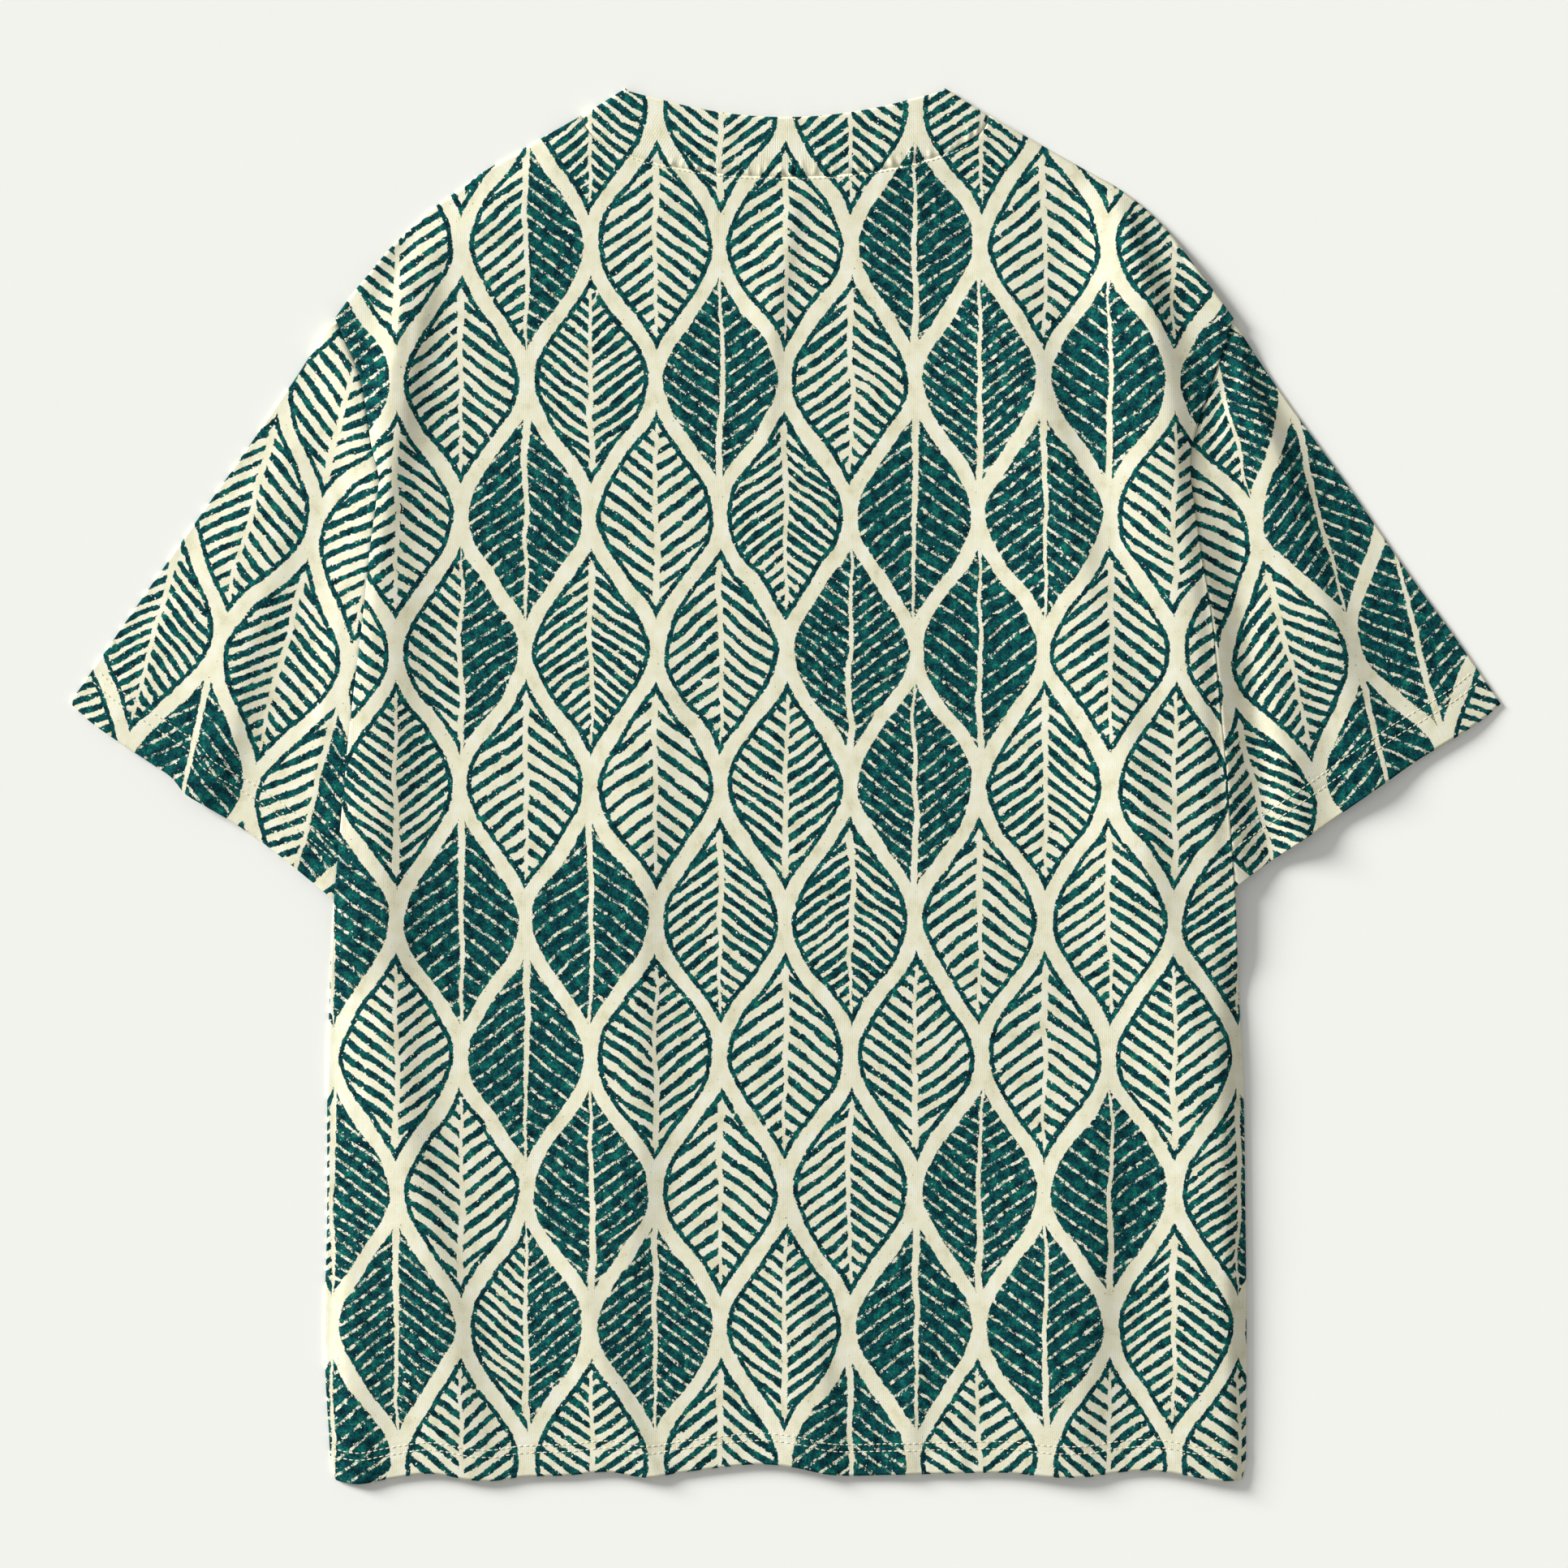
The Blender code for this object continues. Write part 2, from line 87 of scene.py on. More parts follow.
# Heights above the surface
PLATEAU = 2.4
FRONT_REST = 0.1
SIDE_REST = 0.8  # where back and front are sewn together, down the sides and along the shoulders
NECK_REST = 3.4
SLEEVE_DEPTH = 3.0
SLEEVE_EDGE_DEPTH = 1.4  # along the folded edges
SLEEVE_EDGE_OPENS = 30.0
SLEEVE_EDGE_CLOSES = (3.0, 34.0)  # how far from the armhole they get that thin
TUCK_REST = SOLID_WALL + SEAM_GAP
LAP_REST = TUCK_REST + SLEEVE_DEPTH + SEAM_GAP

# How the edges round down
LEFT_LEVEL_IN = 60.0  # the left side rises gently, and the right side rounds down steeply
LEFT_FOLDS_IN = (14.0, 8.0)  # below the armhole, and beside it
LEFT_SHOULDER_IN = 24.0
RIGHT_ROUND = 10.0
RIGHT_SHOULDER_ROUND = 14.0
NECK_FALL = 30.0
EDGE_INSET = 0.5
LAP_WIDTH = ((10.0, 38.0), (12.0, 96.0))  # left and right
LAP_END_Y = (-118.0, -86.0)
SHOULDER_LAP = (205.0, 232.0)
COLLAR_LIFT = (113.0, 150.0)
STEP_DOWN = (3.0, 24.0)
PUFF_IN = (4.0, 18.0)

# Half width of the body on each side: the side seam, then the armhole up to the shoulder point.
# y, half width
LEFT_EDGE = (
    (-390, 248.5), (-379, 251.8), (-356, 254), (-311, 256.2), (-244, 254.9), (-154, 254.5),
    (-109, 253.1), (-64, 250.6), (-37, 248.2), (31, 241.9), (95, 234.2), (132, 230.2), (156, 227),
    (169, 225.4), (186, 229.2), (203, 232), (220, 234.7), (231, 237.8), (243, 243), (258.5, 250.2),
)
RIGHT_EDGE = (
    (-390, 252.5), (-379, 255.2), (-356, 255.9), (-311, 256.2), (-244, 255.7), (-154, 254),
    (-109, 251.6), (-56, 249.5), (-34, 247.6), (11, 244.3), (42, 241.2), (95, 236), (133, 229.8),
    (153, 227), (172, 224.6), (186, 225.2), (201, 229.4), (225, 237.8), (243, 244), (258.5, 249),
)

# Shoulder lines.
# distance from the centre line, y
LEFT_SHOULDER = (
    (113, 371.8), (147.5, 352.6), (167, 341.3), (182.5, 330.1), (198, 318.8), (210.4, 307.6),
    (220.9, 296.3), (229.8, 285.1), (239.2, 273.8), (250.2, 258.5),
)
RIGHT_SHOULDER = (
    (113, 371.8), (147.5, 352.6), (167.5, 341.3), (187, 330.1), (201.5, 318.8), (212.5, 307.6),
    (221.2, 296.3), (229.4, 285.1), (238, 273.8), (249, 258.5),
)

# Hem, with the waves that its folds make.
# x, y
HEM = (
    (-258, -382), (-248, -385.6), (-238, -387.2), (-220, -384.4), (-196, -381.4), (-174, -385),
    (-165, -385.6), (-147, -383.4), (-120, -382.4), (-98, -380.4), (-76, -383.4), (-58, -380.9),
    (-39, -378.4), (-12, -376.2), (6, -378), (24, -381.8), (60, -382), (104, -381), (123, -380.8),
    (150, -383.2), (168, -383), (186, -380.6), (199, -379.6), (213, -380.6), (231, -383.8),
    (244, -385.2), (258, -384),
)

# Folds of the back, each from its lower end to its upper end.
# y, x of the crest, height, width on the left, width on the right
BACK_FOLDS = (
    (  # down the left side, from the shoulder to the hem
        (-392, -172, 0.5, 24, 14), (-372, -174, 1.4, 28, 14), (-329, -184, 3, 34, 14),
        (-284, -192, 3.4, 36, 14), (-240, -202, 3.6, 36, 14), (-194, -211, 4.2, 34, 15),
        (-150, -218, 4.6, 30, 16), (-100, -222, 3.8, 28, 17), (-60, -224, 2.8, 28, 19),
        (31, -226, 2.4, 28, 20), (85, -227, 2.6, 26, 20), (121, -229, 3.2, 26, 16), (166, -222, 4.2, 24, 12),
        (211, -214, 4.2, 22, 11), (256, -205, 3.4, 20, 9), (290, -199, 1.8, 18, 8), (312, -198, 0, 16, 8),
    ),
    (  # by the hem, left of it
        (-392, -240, 1.8, 22, 15), (-374, -240, 2.2, 22, 15), (-329, -240, 2.6, 22, 16),
        (-284, -243, 2, 22, 16), (-250, -243, 1, 20, 14), (-222, -242, 0, 18, 12),
    ),
    (  # the soft one left of the middle
        (-370, -93, 0, 30, 14), (-320, -92, 1, 32, 14), (-270, -90, 2.2, 34, 13), (-240, -86, 2.6, 34, 14),
        (-200, -84, 2.6, 34, 14), (-150, -84, 2.4, 34, 14), (-104, -84, 2.5, 34, 14), (-59, -83, 2.3, 34, 14),
        (-14, -78, 1.5, 34, 14), (31, -72, 1, 34, 15), (85, -68, 0.6, 34, 16), (130, -60, 0, 34, 17),
    ),
    (  # down from the middle of the neck
        (120, -12, 0, 12, 8), (166, -10, 0.5, 12, 8), (211, -10, 1, 12, 7), (265, -5.6, 1.5, 15, 6.5),
        (300, 1, 1.4, 14, 5.5), (322, 4.8, 1.2, 10, 5), (345, 7, 0.9, 9, 5),
    ),
    (  # from the right shoulder down to the side seam
        (-190, 234, 0, 30, 12), (-150, 228, 1.2, 30, 13), (-104, 212, 3, 32, 14), (-50, 198, 4.2, 36, 15),
        (-5, 192, 4.6, 38, 16), (31, 183, 5, 42, 18), (85, 166, 5.4, 44, 22), (121, 161, 5.2, 40, 16),
        (179, 150, 5, 36, 14), (211, 140, 4.8, 36, 15), (233, 133, 3.6, 32, 16), (256, 128, 2.2, 28, 18),
        (283, 122, 1.3, 26, 20), (330, 118, 0, 22, 20),
    ),
    (  # beside the right armhole
        (-90, 240, 0, 26, 16), (-60, 238, 2.4, 34, 16), (-20, 234, 5, 42, 16), (31, 229, 6.6, 46, 16),
        (80, 225, 7, 46, 16), (121, 221, 7, 44, 15), (166, 215, 7, 40, 14), (211, 210, 7, 38, 15),
        (235, 206, 7, 34, 13), (256, 203, 6.8, 30, 10), (285, 196, 6.6, 24, 8), (305, 190, 5.2, 20, 8),
        (322, 183, 2.6, 16, 8), (336, 177, 0, 14, 8),
    ),
    (  # the full edge below the right armhole
        (-392, 243, 2.2, 34, 10), (-360, 244, 3.6, 36, 10), (-329, 243, 4.4, 38, 10), (-270, 242, 5, 40, 10),
        (-194, 239, 5.6, 42, 11), (-150, 238, 5.6, 40, 12), (-110, 236, 4.2, 36, 13), (-70, 236, 0, 28, 13),
    ),
    (  # by the hem on the right
        (-392, 157, 2.6, 36, 16), (-356, 160, 3.2, 36, 17), (-329, 162.5, 4, 38, 18),
        (-285, 165, 4.8, 40, 19), (-240, 167, 4.2, 38, 18), (-194, 170, 2.6, 34, 16),
        (-165, 171, 1.2, 32, 14), (-140, 170, 0, 30, 14),
    ),
    (  # by the hem in the middle
        (-392, 21, 2, 28, 8), (-374, 21, 2.1, 28, 8), (-329, 19, 2.1, 28, 8), (-275, 6, 1.3, 28, 10),
        (-230, -8, 0.6, 26, 12), (-185, -12, 0, 26, 12),
    ),
    (
        (-392, -70, 1.6, 20, 8), (-365, -81, 1.8, 20, 8), (-329, -98, 1.8, 20, 8), (-302, -107, 1.5, 20, 8),
        (-275, -116, 0.8, 20, 9), (-250, -122, 0, 20, 9),
    ),
    ((-392, 65, 1, 12, 7), (-365, 67.7, 1.1, 12, 7), (-329, 72, 0.8, 12, 7), (-298, 76, 0, 12, 7)),
    ((-392, 92, 0.6, 11, 6), (-380, 94, 0.6, 11, 6), (-352, 97, 0.4, 11, 6), (-330, 98, 0, 11, 6)),
    (  # short ones on the left shoulder
        (236, -252, 0, 6, 5), (256, -244, 0.9, 7, 6), (270, -238, 1.2, 7, 6), (283, -231, 0.9, 7, 6),
        (302, -221, 0, 7, 6),
    ),
    (
        (200, -222, 0, 6, 5), (224, -219, 0.8, 6, 5), (260, -213, 1.1, 6, 5), (291, -208, 0.6, 6, 5),
        (308, -206, 0, 6, 5),
    ),
    # gathers under the collar
    ((312, -70, 0, 4, 3), (324, -66, 0.5, 4, 3), (337, -61, 0.7, 3.6, 2.8), (348, -58, 0.5, 3.4, 2.6)),
    ((306, -50, 0, 4, 3), (322, -47, 0.4, 4, 3), (338, -44, 0.6, 3.6, 2.8), (346, -43, 0.4, 3.4, 2.6)),
    ((318, 30, 0, 4, 3), (328, 31, 0.4, 4, 3), (342, 32, 0.6, 3.6, 2.8)),
    ((300, 53, 0, 4, 3), (318, 53, 0.6, 4, 3), (336, 52, 0.8, 3.6, 2.8), (350, 51, 0.5, 3.4, 2.6)),
    ((310, 76, 0, 4, 3), (324, 73, 0.5, 4, 3), (338, 69, 0.6, 3.6, 2.8), (352, 66, 0.4, 3.4, 2.6)),
)

# Folds of the sleeves, as above.
LEFT_SLEEVE_FOLDS = (
    (
        (-40, -336, 2.6, 26, 11), (-5, -322, 2.8, 26, 11), (31, -308, 2.8, 26, 11), (85, -297, 2, 26, 11),
        (121, -286, 1.2, 24, 12), (170, -276, 0, 22, 12),
    ),
    (
        (-60, -278, 1.2, 18, 9), (-14, -264, 1.2, 18, 9), (31, -255, 1, 18, 9), (90, -247, 0.8, 16, 8),
        (140, -241, 0, 14, 8),
    ),
)
RIGHT_SLEEVE_FOLDS = (
    (
        (-40, 334, 3.2, 26, 14), (0, 326, 2.8, 18, 18), (31, 318, 2.6, 14, 20), (76, 302, 5.8, 24, 16),
        (121, 289, 4.6, 36, 15), (166, 277, 5.8, 38, 11), (211, 260, 6.2, 24, 8), (235, 250, 3.4, 16, 8),
        (252, 243, 0, 14, 8),
    ),
    (
        (-40, 290, 4.8, 14, 14), (-14, 281, 4.8, 12, 15), (31, 275, 4.4, 12, 20), (60, 271, 3.4, 12, 20),
        (88, 267, 2, 12, 16), (115, 264, 0, 12, 12),
    ),
)

# How far the armhole seams stand up above their rest.
# y, rise
ARMHOLE_RISE = {
    "left": ((-110, 0), (-60, 0.8), (31, 1.4), (85, 1.9), (121, 2.4), (166, 2.8), (211, 1.4), (258, 0)),
    "right": ((-115, 0), (-60, 2.6), (0, 5.4), (60, 5.8), (130, 5.2), (180, 2.8), (225, 1.6), (258, 0)),
}
# How far onto the sleeve that rise dies away.
# y, distance
ARMHOLE_FALL = {
    "left": ((-30, 36), (258, 30)),
    "right": ((-30, 20), (60, 19), (121, 17), (166, 22), (211, 13)),
}
ARMHOLE_FALL_BEND = 1.2
ARMHOLE_RISE_IN = (-4, 0)  # how the sleeve comes up to the seam, under the back

# Sleeves
CUFF_CORNERS = {"left": ((-396.9, 46), (-241.5, -71.5)), "right": ((396.9, 45.4), (241.5, -63))}
TUCKED_TOP_Y = 257.8
TUCKED_BOTTOM_Y = -28.0
TUCK = (1.6, 15)
TUCK_GROWS = (0.15, 0.75)
# share of the way from armhole to cuff, bow
OVER_ARM = {
    "left": ((0, 0.2), (0.02, 2.3), (0.06, 2.3), (0.12, 1.6), (0.22, 1.1), (0.75, 0.8), (1, 0.3)),
    "right": ((0, 0.1), (0.02, 0.9), (0.06, 0.7), (0.16, 0.1), (0.45, 0.7), (0.66, 0.2), (0.82, 0.9),
              (1, 0.4)),
}
# share of the way from the cuff's outer corner to its hidden one, reach
CUFF_WAVES = {
    "left": ((0, 0), (0.07, 1.4), (0.18, 0.8), (0.30, -0.6), (0.36, -1.2), (0.42, 1.4), (0.48, 0.3),
             (0.59, -2), (0.71, -2.8), (0.88, -1.8), (1, -0.8)),
    "right": ((0, 0), (0.06, 1.2), (0.17, 0.8), (0.29, -0.8), (0.41, -0.9), (0.64, -0.9), (0.87, -1.6),
              (1, -1)),
}
SLEEVE_EDGE_FLAT = 12.0
PRINT_LEAN = {"left": 14, "right": -14}  # degrees that a sleeve's print leans

# Hem and cuffs: the turned-up part, and two rows of stitches
HEM_TURN = 19.0
HEM_RISE = 0.2
TURN_ENDS = (-1.5, 2.5)  # where the doubled cloth thins out, from the turn's own width
HEM_STITCHES = (13.2, 17.2)
HEM_ROPE = 0.12
HEM_ROPE_STEP = 7.3
HEM_ROPE_SLANT = 0.5
HEM_ROPE_UNEVEN = ((2.2, 31.0), (1.4, 13.0))  # turn of the rope's phase, and how slowly it changes
HEM_ROPE_FROM_TO = ((0.0, 6.0), (14.0, 24.0))
CUFF_TURN = 26.0
CUFF_STITCHES = (17.6, 24.0)
STITCH_GROOVE = 0.18
STITCH_GROOVE_WIDTH = 1.1
NECK_STITCH_INSIDE = 1.3
STITCH = (3.4, 2.5, 0.34)  # step, length, radius
NECK_STITCH = (2.9, 1.9, 0.24)
STITCH_SIDES = 6
STITCH_STANDS = 0.068  # how far a stitch's middle is above the cloth
# share of the length, share of the radius
STITCH_PROFILE = ((-0.5, 0.3), (-0.36, 0.85), (0, 1), (0.36, 0.85), (0.5, 0.3))
STITCH_ENDS_SINK = 0.9
CUFF_STITCHES_OUTSIDE = 1.5

# The seam that shows on the right shoulder
SHOULDER_SEAM_INSIDE = 3.2
SHOULDER_SEAM_WIDTH = 0.8
SHOULDER_SEAM_GROOVE = 0.45
SHOULDER_SEAM_FROM_TO = ((168.0, 180.0), (226.0, 236.0))

# Cloth turns under at its seams, so its edge there is thin
SEAM_THINNING = 0.35
SEAM_THIN_WIDTH = 2.5

# Print: pointed leaves, in columns that are dropped by half
LEAF_WIDTH = 72.0
LEAF_LENGTH = 150.0
LEAF_GAP = 8.0
LEAF_OUTLINE = 2.8
LEAF_EDGE_SLANT = 0.2  # share by which a slanting edge is nearer than it is straight across
MIDRIB_BASE = 2.2
MIDRIB_TIP = 0.5
VEIN_STEP = (7.2, 10.2)
VEIN_RISE = 0.75
VEIN_HALF_WIDTH = 1.75
VEIN_VARIES = 1.6
VEIN_SHIFT = 7.0  # steps by which a leaf's lot moves its veins
CARVED_HALF_WIDTH = 0.6
SOLID_FROM = 0.70  # a half leaf is solid where its lot, from 0 to 1, is greater than this
HALF_SOLID = 0.14  # added to the lot of the right half
WORN_FROM = 0.2
WORN_DEPTH = 12.0
PINHOLES_FROM = 0.2
PINHOLE_DEPTH = 16.0
FLECKS_FROM_TO = (0.3, 0.35)
FLECK_INK = 0.8
INK_EDGE = 0.22

# Blots of noise: grain, offset, detail, stretch. Each offset gives other blots.
NOISE_STEP_UP = 0.7  # how far up the cloth an offset goes, for each step across
WAVER_BLOTS = (34.0, 11.0)
WAVER_REACH = 5.0
VEIN_BLOTS = (22.0, 37.0)
WORN_BLOTS = (8.0, 71.0, 2.0)
PINHOLE_BLOTS = (1.9, 53.0)
FLECK_BLOTS = (1.6, 83.0)
# Layers of them: strength, and then as above
INK_EDGE_LAYERS = ((1.7, 3.4, 5.0, 2.0), (0.8, 0.9, 19.0))
CREASE_LAYERS = ((0.4, 26.0, 3.0, 3.0), (0.1, 7.0, 29.0, 2.0, 1.6), (0.03, 0.5, 61.0))
CREAM_LAYERS = ((1.0, 9.0, 7.0, 5.0, 1.3), (0.25, 1.1, 23.0))
INK_LAYERS = ((1.0, 5.5, 13.0, 6.0), (0.55, 1.2, 47.0))

# Linear colours.
# place on the ramp, colour
CREAM = (
    (0.22, (0.70, 0.665, 0.45)), (0.40, (0.80, 0.775, 0.57)), (0.55, (0.83, 0.808, 0.615)),
    (0.78, (0.87, 0.865, 0.735)),
)
INK = (
    (0.20, (0.0008, 0.011, 0.016)), (0.38, (0.0018, 0.034, 0.042)), (0.52, (0.0032, 0.062, 0.066)),
    (0.68, (0.006, 0.115, 0.100)), (0.84, (0.010, 0.235, 0.150)),
)
THREAD = ((0.0, (0.62, 0.58, 0.41)), (1.0, (0.84, 0.81, 0.62)))
THREAD_TWIST = 900.0

# Knit
KNIT_WALE = 0.75
KNIT_COURSE = 0.6
KNIT_SLANT = 1.2
KNIT_HEIGHT = 0.10
RIB_STEP = 1.4
RIB_HEIGHT = 0.02

# What is the same all over each surface
COTTON = {"Roughness": 0.9, "Specular IOR Level": 0.05, "Sheen Weight": 0.015, "Sheen Roughness": 0.5}
SPUN_THREAD = {"Roughness": 0.7}
PAPER = {"Roughness": 0.95, "Specular IOR Level": 0.2}

# How finely the shells are divided
SIDE_COLUMNS = 56
SIDE_CROWDING = 0.55  # towards the side
NECK_COLUMNS = 130
HEM_ROWS = 18
HEM_ROW = 0.0021  # share of a column's height
MIDDLE_ROWS = 131
TOP_ROWS = 18
TOP_ROW = 0.0016
FRONT_STEP = 2  # the hidden front has every second row and column
SLEEVE_RINGS = 96
SLEEVE_CROWDING = 0.35  # towards the cuff
SLEEVE_ACROSS = 76
SLEEVE_FOLD_CROWDING = 0.5
FOLD_TURN = range(-80, 81, 20)  # degrees, round a folded edge
COLLAR_BACK_COLUMNS = 420
COLLAR_FRONT_COLUMNS = 200
COLLAR_ACROSS = 24
COLLAR_CROWDING = 0.11
RIB_LINE = 12  # the row of points along which the ribs are spaced
# Lines that stitches are laid along: from, to, points
HEM_STITCH_LINE = (-252, 252, 506)
NECK_STITCH_LINE = (-104, 104, 400)
CUFF_STITCH_LINE = (0.02, 0.97, 300)

# The photograph's frame: the camera looks straight down, from a place in metres
CAMERA_AT = (-0.0007, 0.0011, 2.419)
CAMERA_LENS = 100.0
CAMERA_SENSOR = 36.0
CAMERA_CLIP = (0.01, 20.0)

# Light, in metres and watts: a broad lamp low on the upper left, and an even sky
LAMP_FROM = (-0.86, 0.50)  # the way that the light comes from, on the surface
LAMP_ELEVATION = 19.0
LAMP_DISTANCE = 8.0
LAMP_WIDTH = 2.8
LAMP_POWER = 1168.0
LAMP_SHARE = 0.58  # of the light on the floor
LAMP_FALL = -3.0  # the light on a level floor falls with the cube of the lamp's distance
SKY_STRENGTH = 0.42
SKY_COLOUR = (1, 1, 1, 1)
FLOOR_SIZE = 6000.0
FLOOR_Z = -0.2
FLOOR_COLOUR = (0.885, 0.892, 0.842)


def through(table):
    """A smooth curve through a table of (place, value) rows, as a function of the place."""
    at, value = np.array(table, float).T
    steps = np.diff(at)
    slopes = np.diff(value) / steps
    tangents = np.empty(len(at))
    tangents[0], tangents[-1] = slopes[0], slopes[-1]
    tangents[1:-1] = (slopes[:-1] * steps[1:] + slopes[1:] * steps[:-1]) / (steps[1:] + steps[:-1])

    def curve(place):
        place = np.clip(place, at[0], at[-1])
        i = np.clip(np.searchsorted(at, place, side="right") - 1, 0, len(steps) - 1)
        h = steps[i]
        t = (place - at[i]) / h
        rise = (1 + 2 * t) * (1 - t) ** 2 * value[i] + t * t * (3 - 2 * t) * value[i + 1]
        return rise + h * (t * (1 - t) ** 2 * tangents[i] - t * t * (1 - t) * tangents[i + 1])

    return curve


def by_side(left_table, right_table):
    """A function of x and a place: the curve through the table for the side that x is on."""
    left, right = through(left_table), through(right_table)
    return lambda x, place: np.where(np.asarray(x) < 0, left(place), right(place))


hem = through(HEM)
rib_rise = through(RIB_RISE)
half_width = by_side(LEFT_EDGE, RIGHT_EDGE)
shoulder_at = by_side(LEFT_SHOULDER, RIGHT_SHOULDER)
armhole_rise = by_side(ARMHOLE_RISE["left"], ARMHOLE_RISE["right"])


def smooth_step(low, high, value):
    """0 below low, 1 above high, and a smooth rise between them."""
    t = np.clip((value - low) / (high - low), 0, 1)
    return t * t * (3 - 2 * t)


def blend(start, end, share):
    """From start at a share of 0 to end at a share of 1."""
    return start + (end - start) * share


def between(starts, ends, value):
    """0, then a smooth rise over the range of starts, 1, and a smooth fall over the range of ends."""
    return smooth_step(*starts, value) * (1 - smooth_step(*ends, value))


def rounding(distance, width):
    """A quarter of an ellipse: 0 at an edge, and 1 from that width inwards."""
    t = np.clip(distance / width, 0, 1)
    return np.sqrt(1 - (1 - t) ** 2)


def bell(distance, width):
    """A smooth hump: 1 at no distance, and nearly 0 at twice the width."""
    return np.exp(-((distance / width) ** 2))


def unit(direction):
    """A direction, of length 1."""
    return direction / np.linalg.norm(direction)


def neck_seam(x, depth):
    """The seam between body and collar, of that depth below its ends."""
    across = np.clip(np.abs(x) / NECK_SEAM_HALF_WIDTH, 0, 1)
    return NECK_SEAM_SIDE_Y - depth * np.sqrt(1 - across**2)


def top_edge(x, depth):
    """A panel's upper edge: a shoulder, the neck seam, and the other shoulder."""
    return np.where(np.abs(x) < NECK_SEAM_HALF_WIDTH, neck_seam(x, depth), shoulder_at(x, np.abs(x)))


def fold_heights(x, y, folds):
    """How high the folds of a table lift the cloth."""
    total = np.zeros_like(x)
    for rows in folds:
        rows = np.array(rows, float)
        crest, height, left, right = (through(rows[:, [0, i]])(y) for i in (1, 2, 3, 4))
        aside = x - crest
        total += height * bell(aside, np.where(aside < 0, left, right))
    return total


def back_underside(x, y):
    """Height of the back's lower face."""
    away = np.abs(x)
    aside = half_width(x, y) - away
    slope = (shoulder_at(x, np.abs(x + 1)) - shoulder_at(x, np.abs(x - 1))) / 2
    below = (top_edge(x, BACK_SEAM_DEPTH) - y) / np.hypot(1, slope)

    lapped = smooth_step(*LAP_END_Y, y)
    over_tuck = lapped * (1 - np.where(x < 0, *(smooth_step(*width, aside) for width in LAP_WIDTH)))
    level = blend(PLATEAU, LAP_REST, over_tuck)

    side_rest = blend(SIDE_REST, LAP_REST, lapped)
    right_in = rounding(aside, RIGHT_ROUND)
    level_in = np.where(x < 0, smooth_step(0, LEFT_LEVEL_IN, aside), right_in)
    folds_in = np.where(x < 0, smooth_step(0, blend(*LEFT_FOLDS_IN, lapped), aside), right_in)
    folds = blend(armhole_rise(x, y), fold_heights(x, y, BACK_FOLDS), folds_in)
    height = blend(side_rest, level, level_in) + folds

    by_neck = 1 - smooth_step(*COLLAR_LIFT, away)
    top_rest = blend(SIDE_REST, NECK_REST, by_neck)
    top_rest = top_rest + (LAP_REST - SIDE_REST) * smooth_step(*SHOULDER_LAP, away)
    settled = np.where(x < 0, smooth_step(0, LEFT_SHOULDER_IN, below), rounding(below, RIGHT_SHOULDER_ROUND))
    settled = blend(settled, smooth_step(0, NECK_FALL, below), by_neck)
    return blend(top_rest, height, settled) + back_relief(x, y, below)


def turned_up(from_edge, turn, rows):
    """Relief of a turned-up edge: the doubled cloth, and the grooves of its rows of stitches."""
    relief = HEM_RISE * (1 - smooth_step(turn + TURN_ENDS[0], turn + TURN_ENDS[1], from_edge))
    for row in rows:
        relief = relief - STITCH_GROOVE * bell(from_edge - row, STITCH_GROOVE_WIDTH)
    return relief


def back_relief(x, y, below):
    """The turned-up hem, which ropes a little, and the shoulder seam."""
    up = y - hem(x)
    uneven = sum(turn * np.sin(x / slowly) for turn, slowly in HEM_ROPE_UNEVEN)
    phase = math.tau * (x + HEM_ROPE_SLANT * up) / HEM_ROPE_STEP + uneven
    rope = HEM_ROPE * np.sin(phase) * between(*HEM_ROPE_FROM_TO, up)
    seam = bell(below - SHOULDER_SEAM_INSIDE, SHOULDER_SEAM_WIDTH) * between(*SHOULDER_SEAM_FROM_TO, x)
    return turned_up(up, HEM_TURN, HEM_STITCHES) + rope - SHOULDER_SEAM_GROOVE * seam


def spread(total, count, crowding):
    """Distances from 0 to total, closer together near 0."""
    t = np.linspace(0, 1, count + 1)
    return total * (t * (1 - crowding) + t * t * crowding)


def neck_columns(count):
    """x of the columns that end at the neck seam, closer together near its ends."""
    share = np.linspace(0, 1, count + 1)
    return -NECK_SEAM_HALF_WIDTH * ((1 - 2 * share) + np.cos(math.pi * share)) / 2


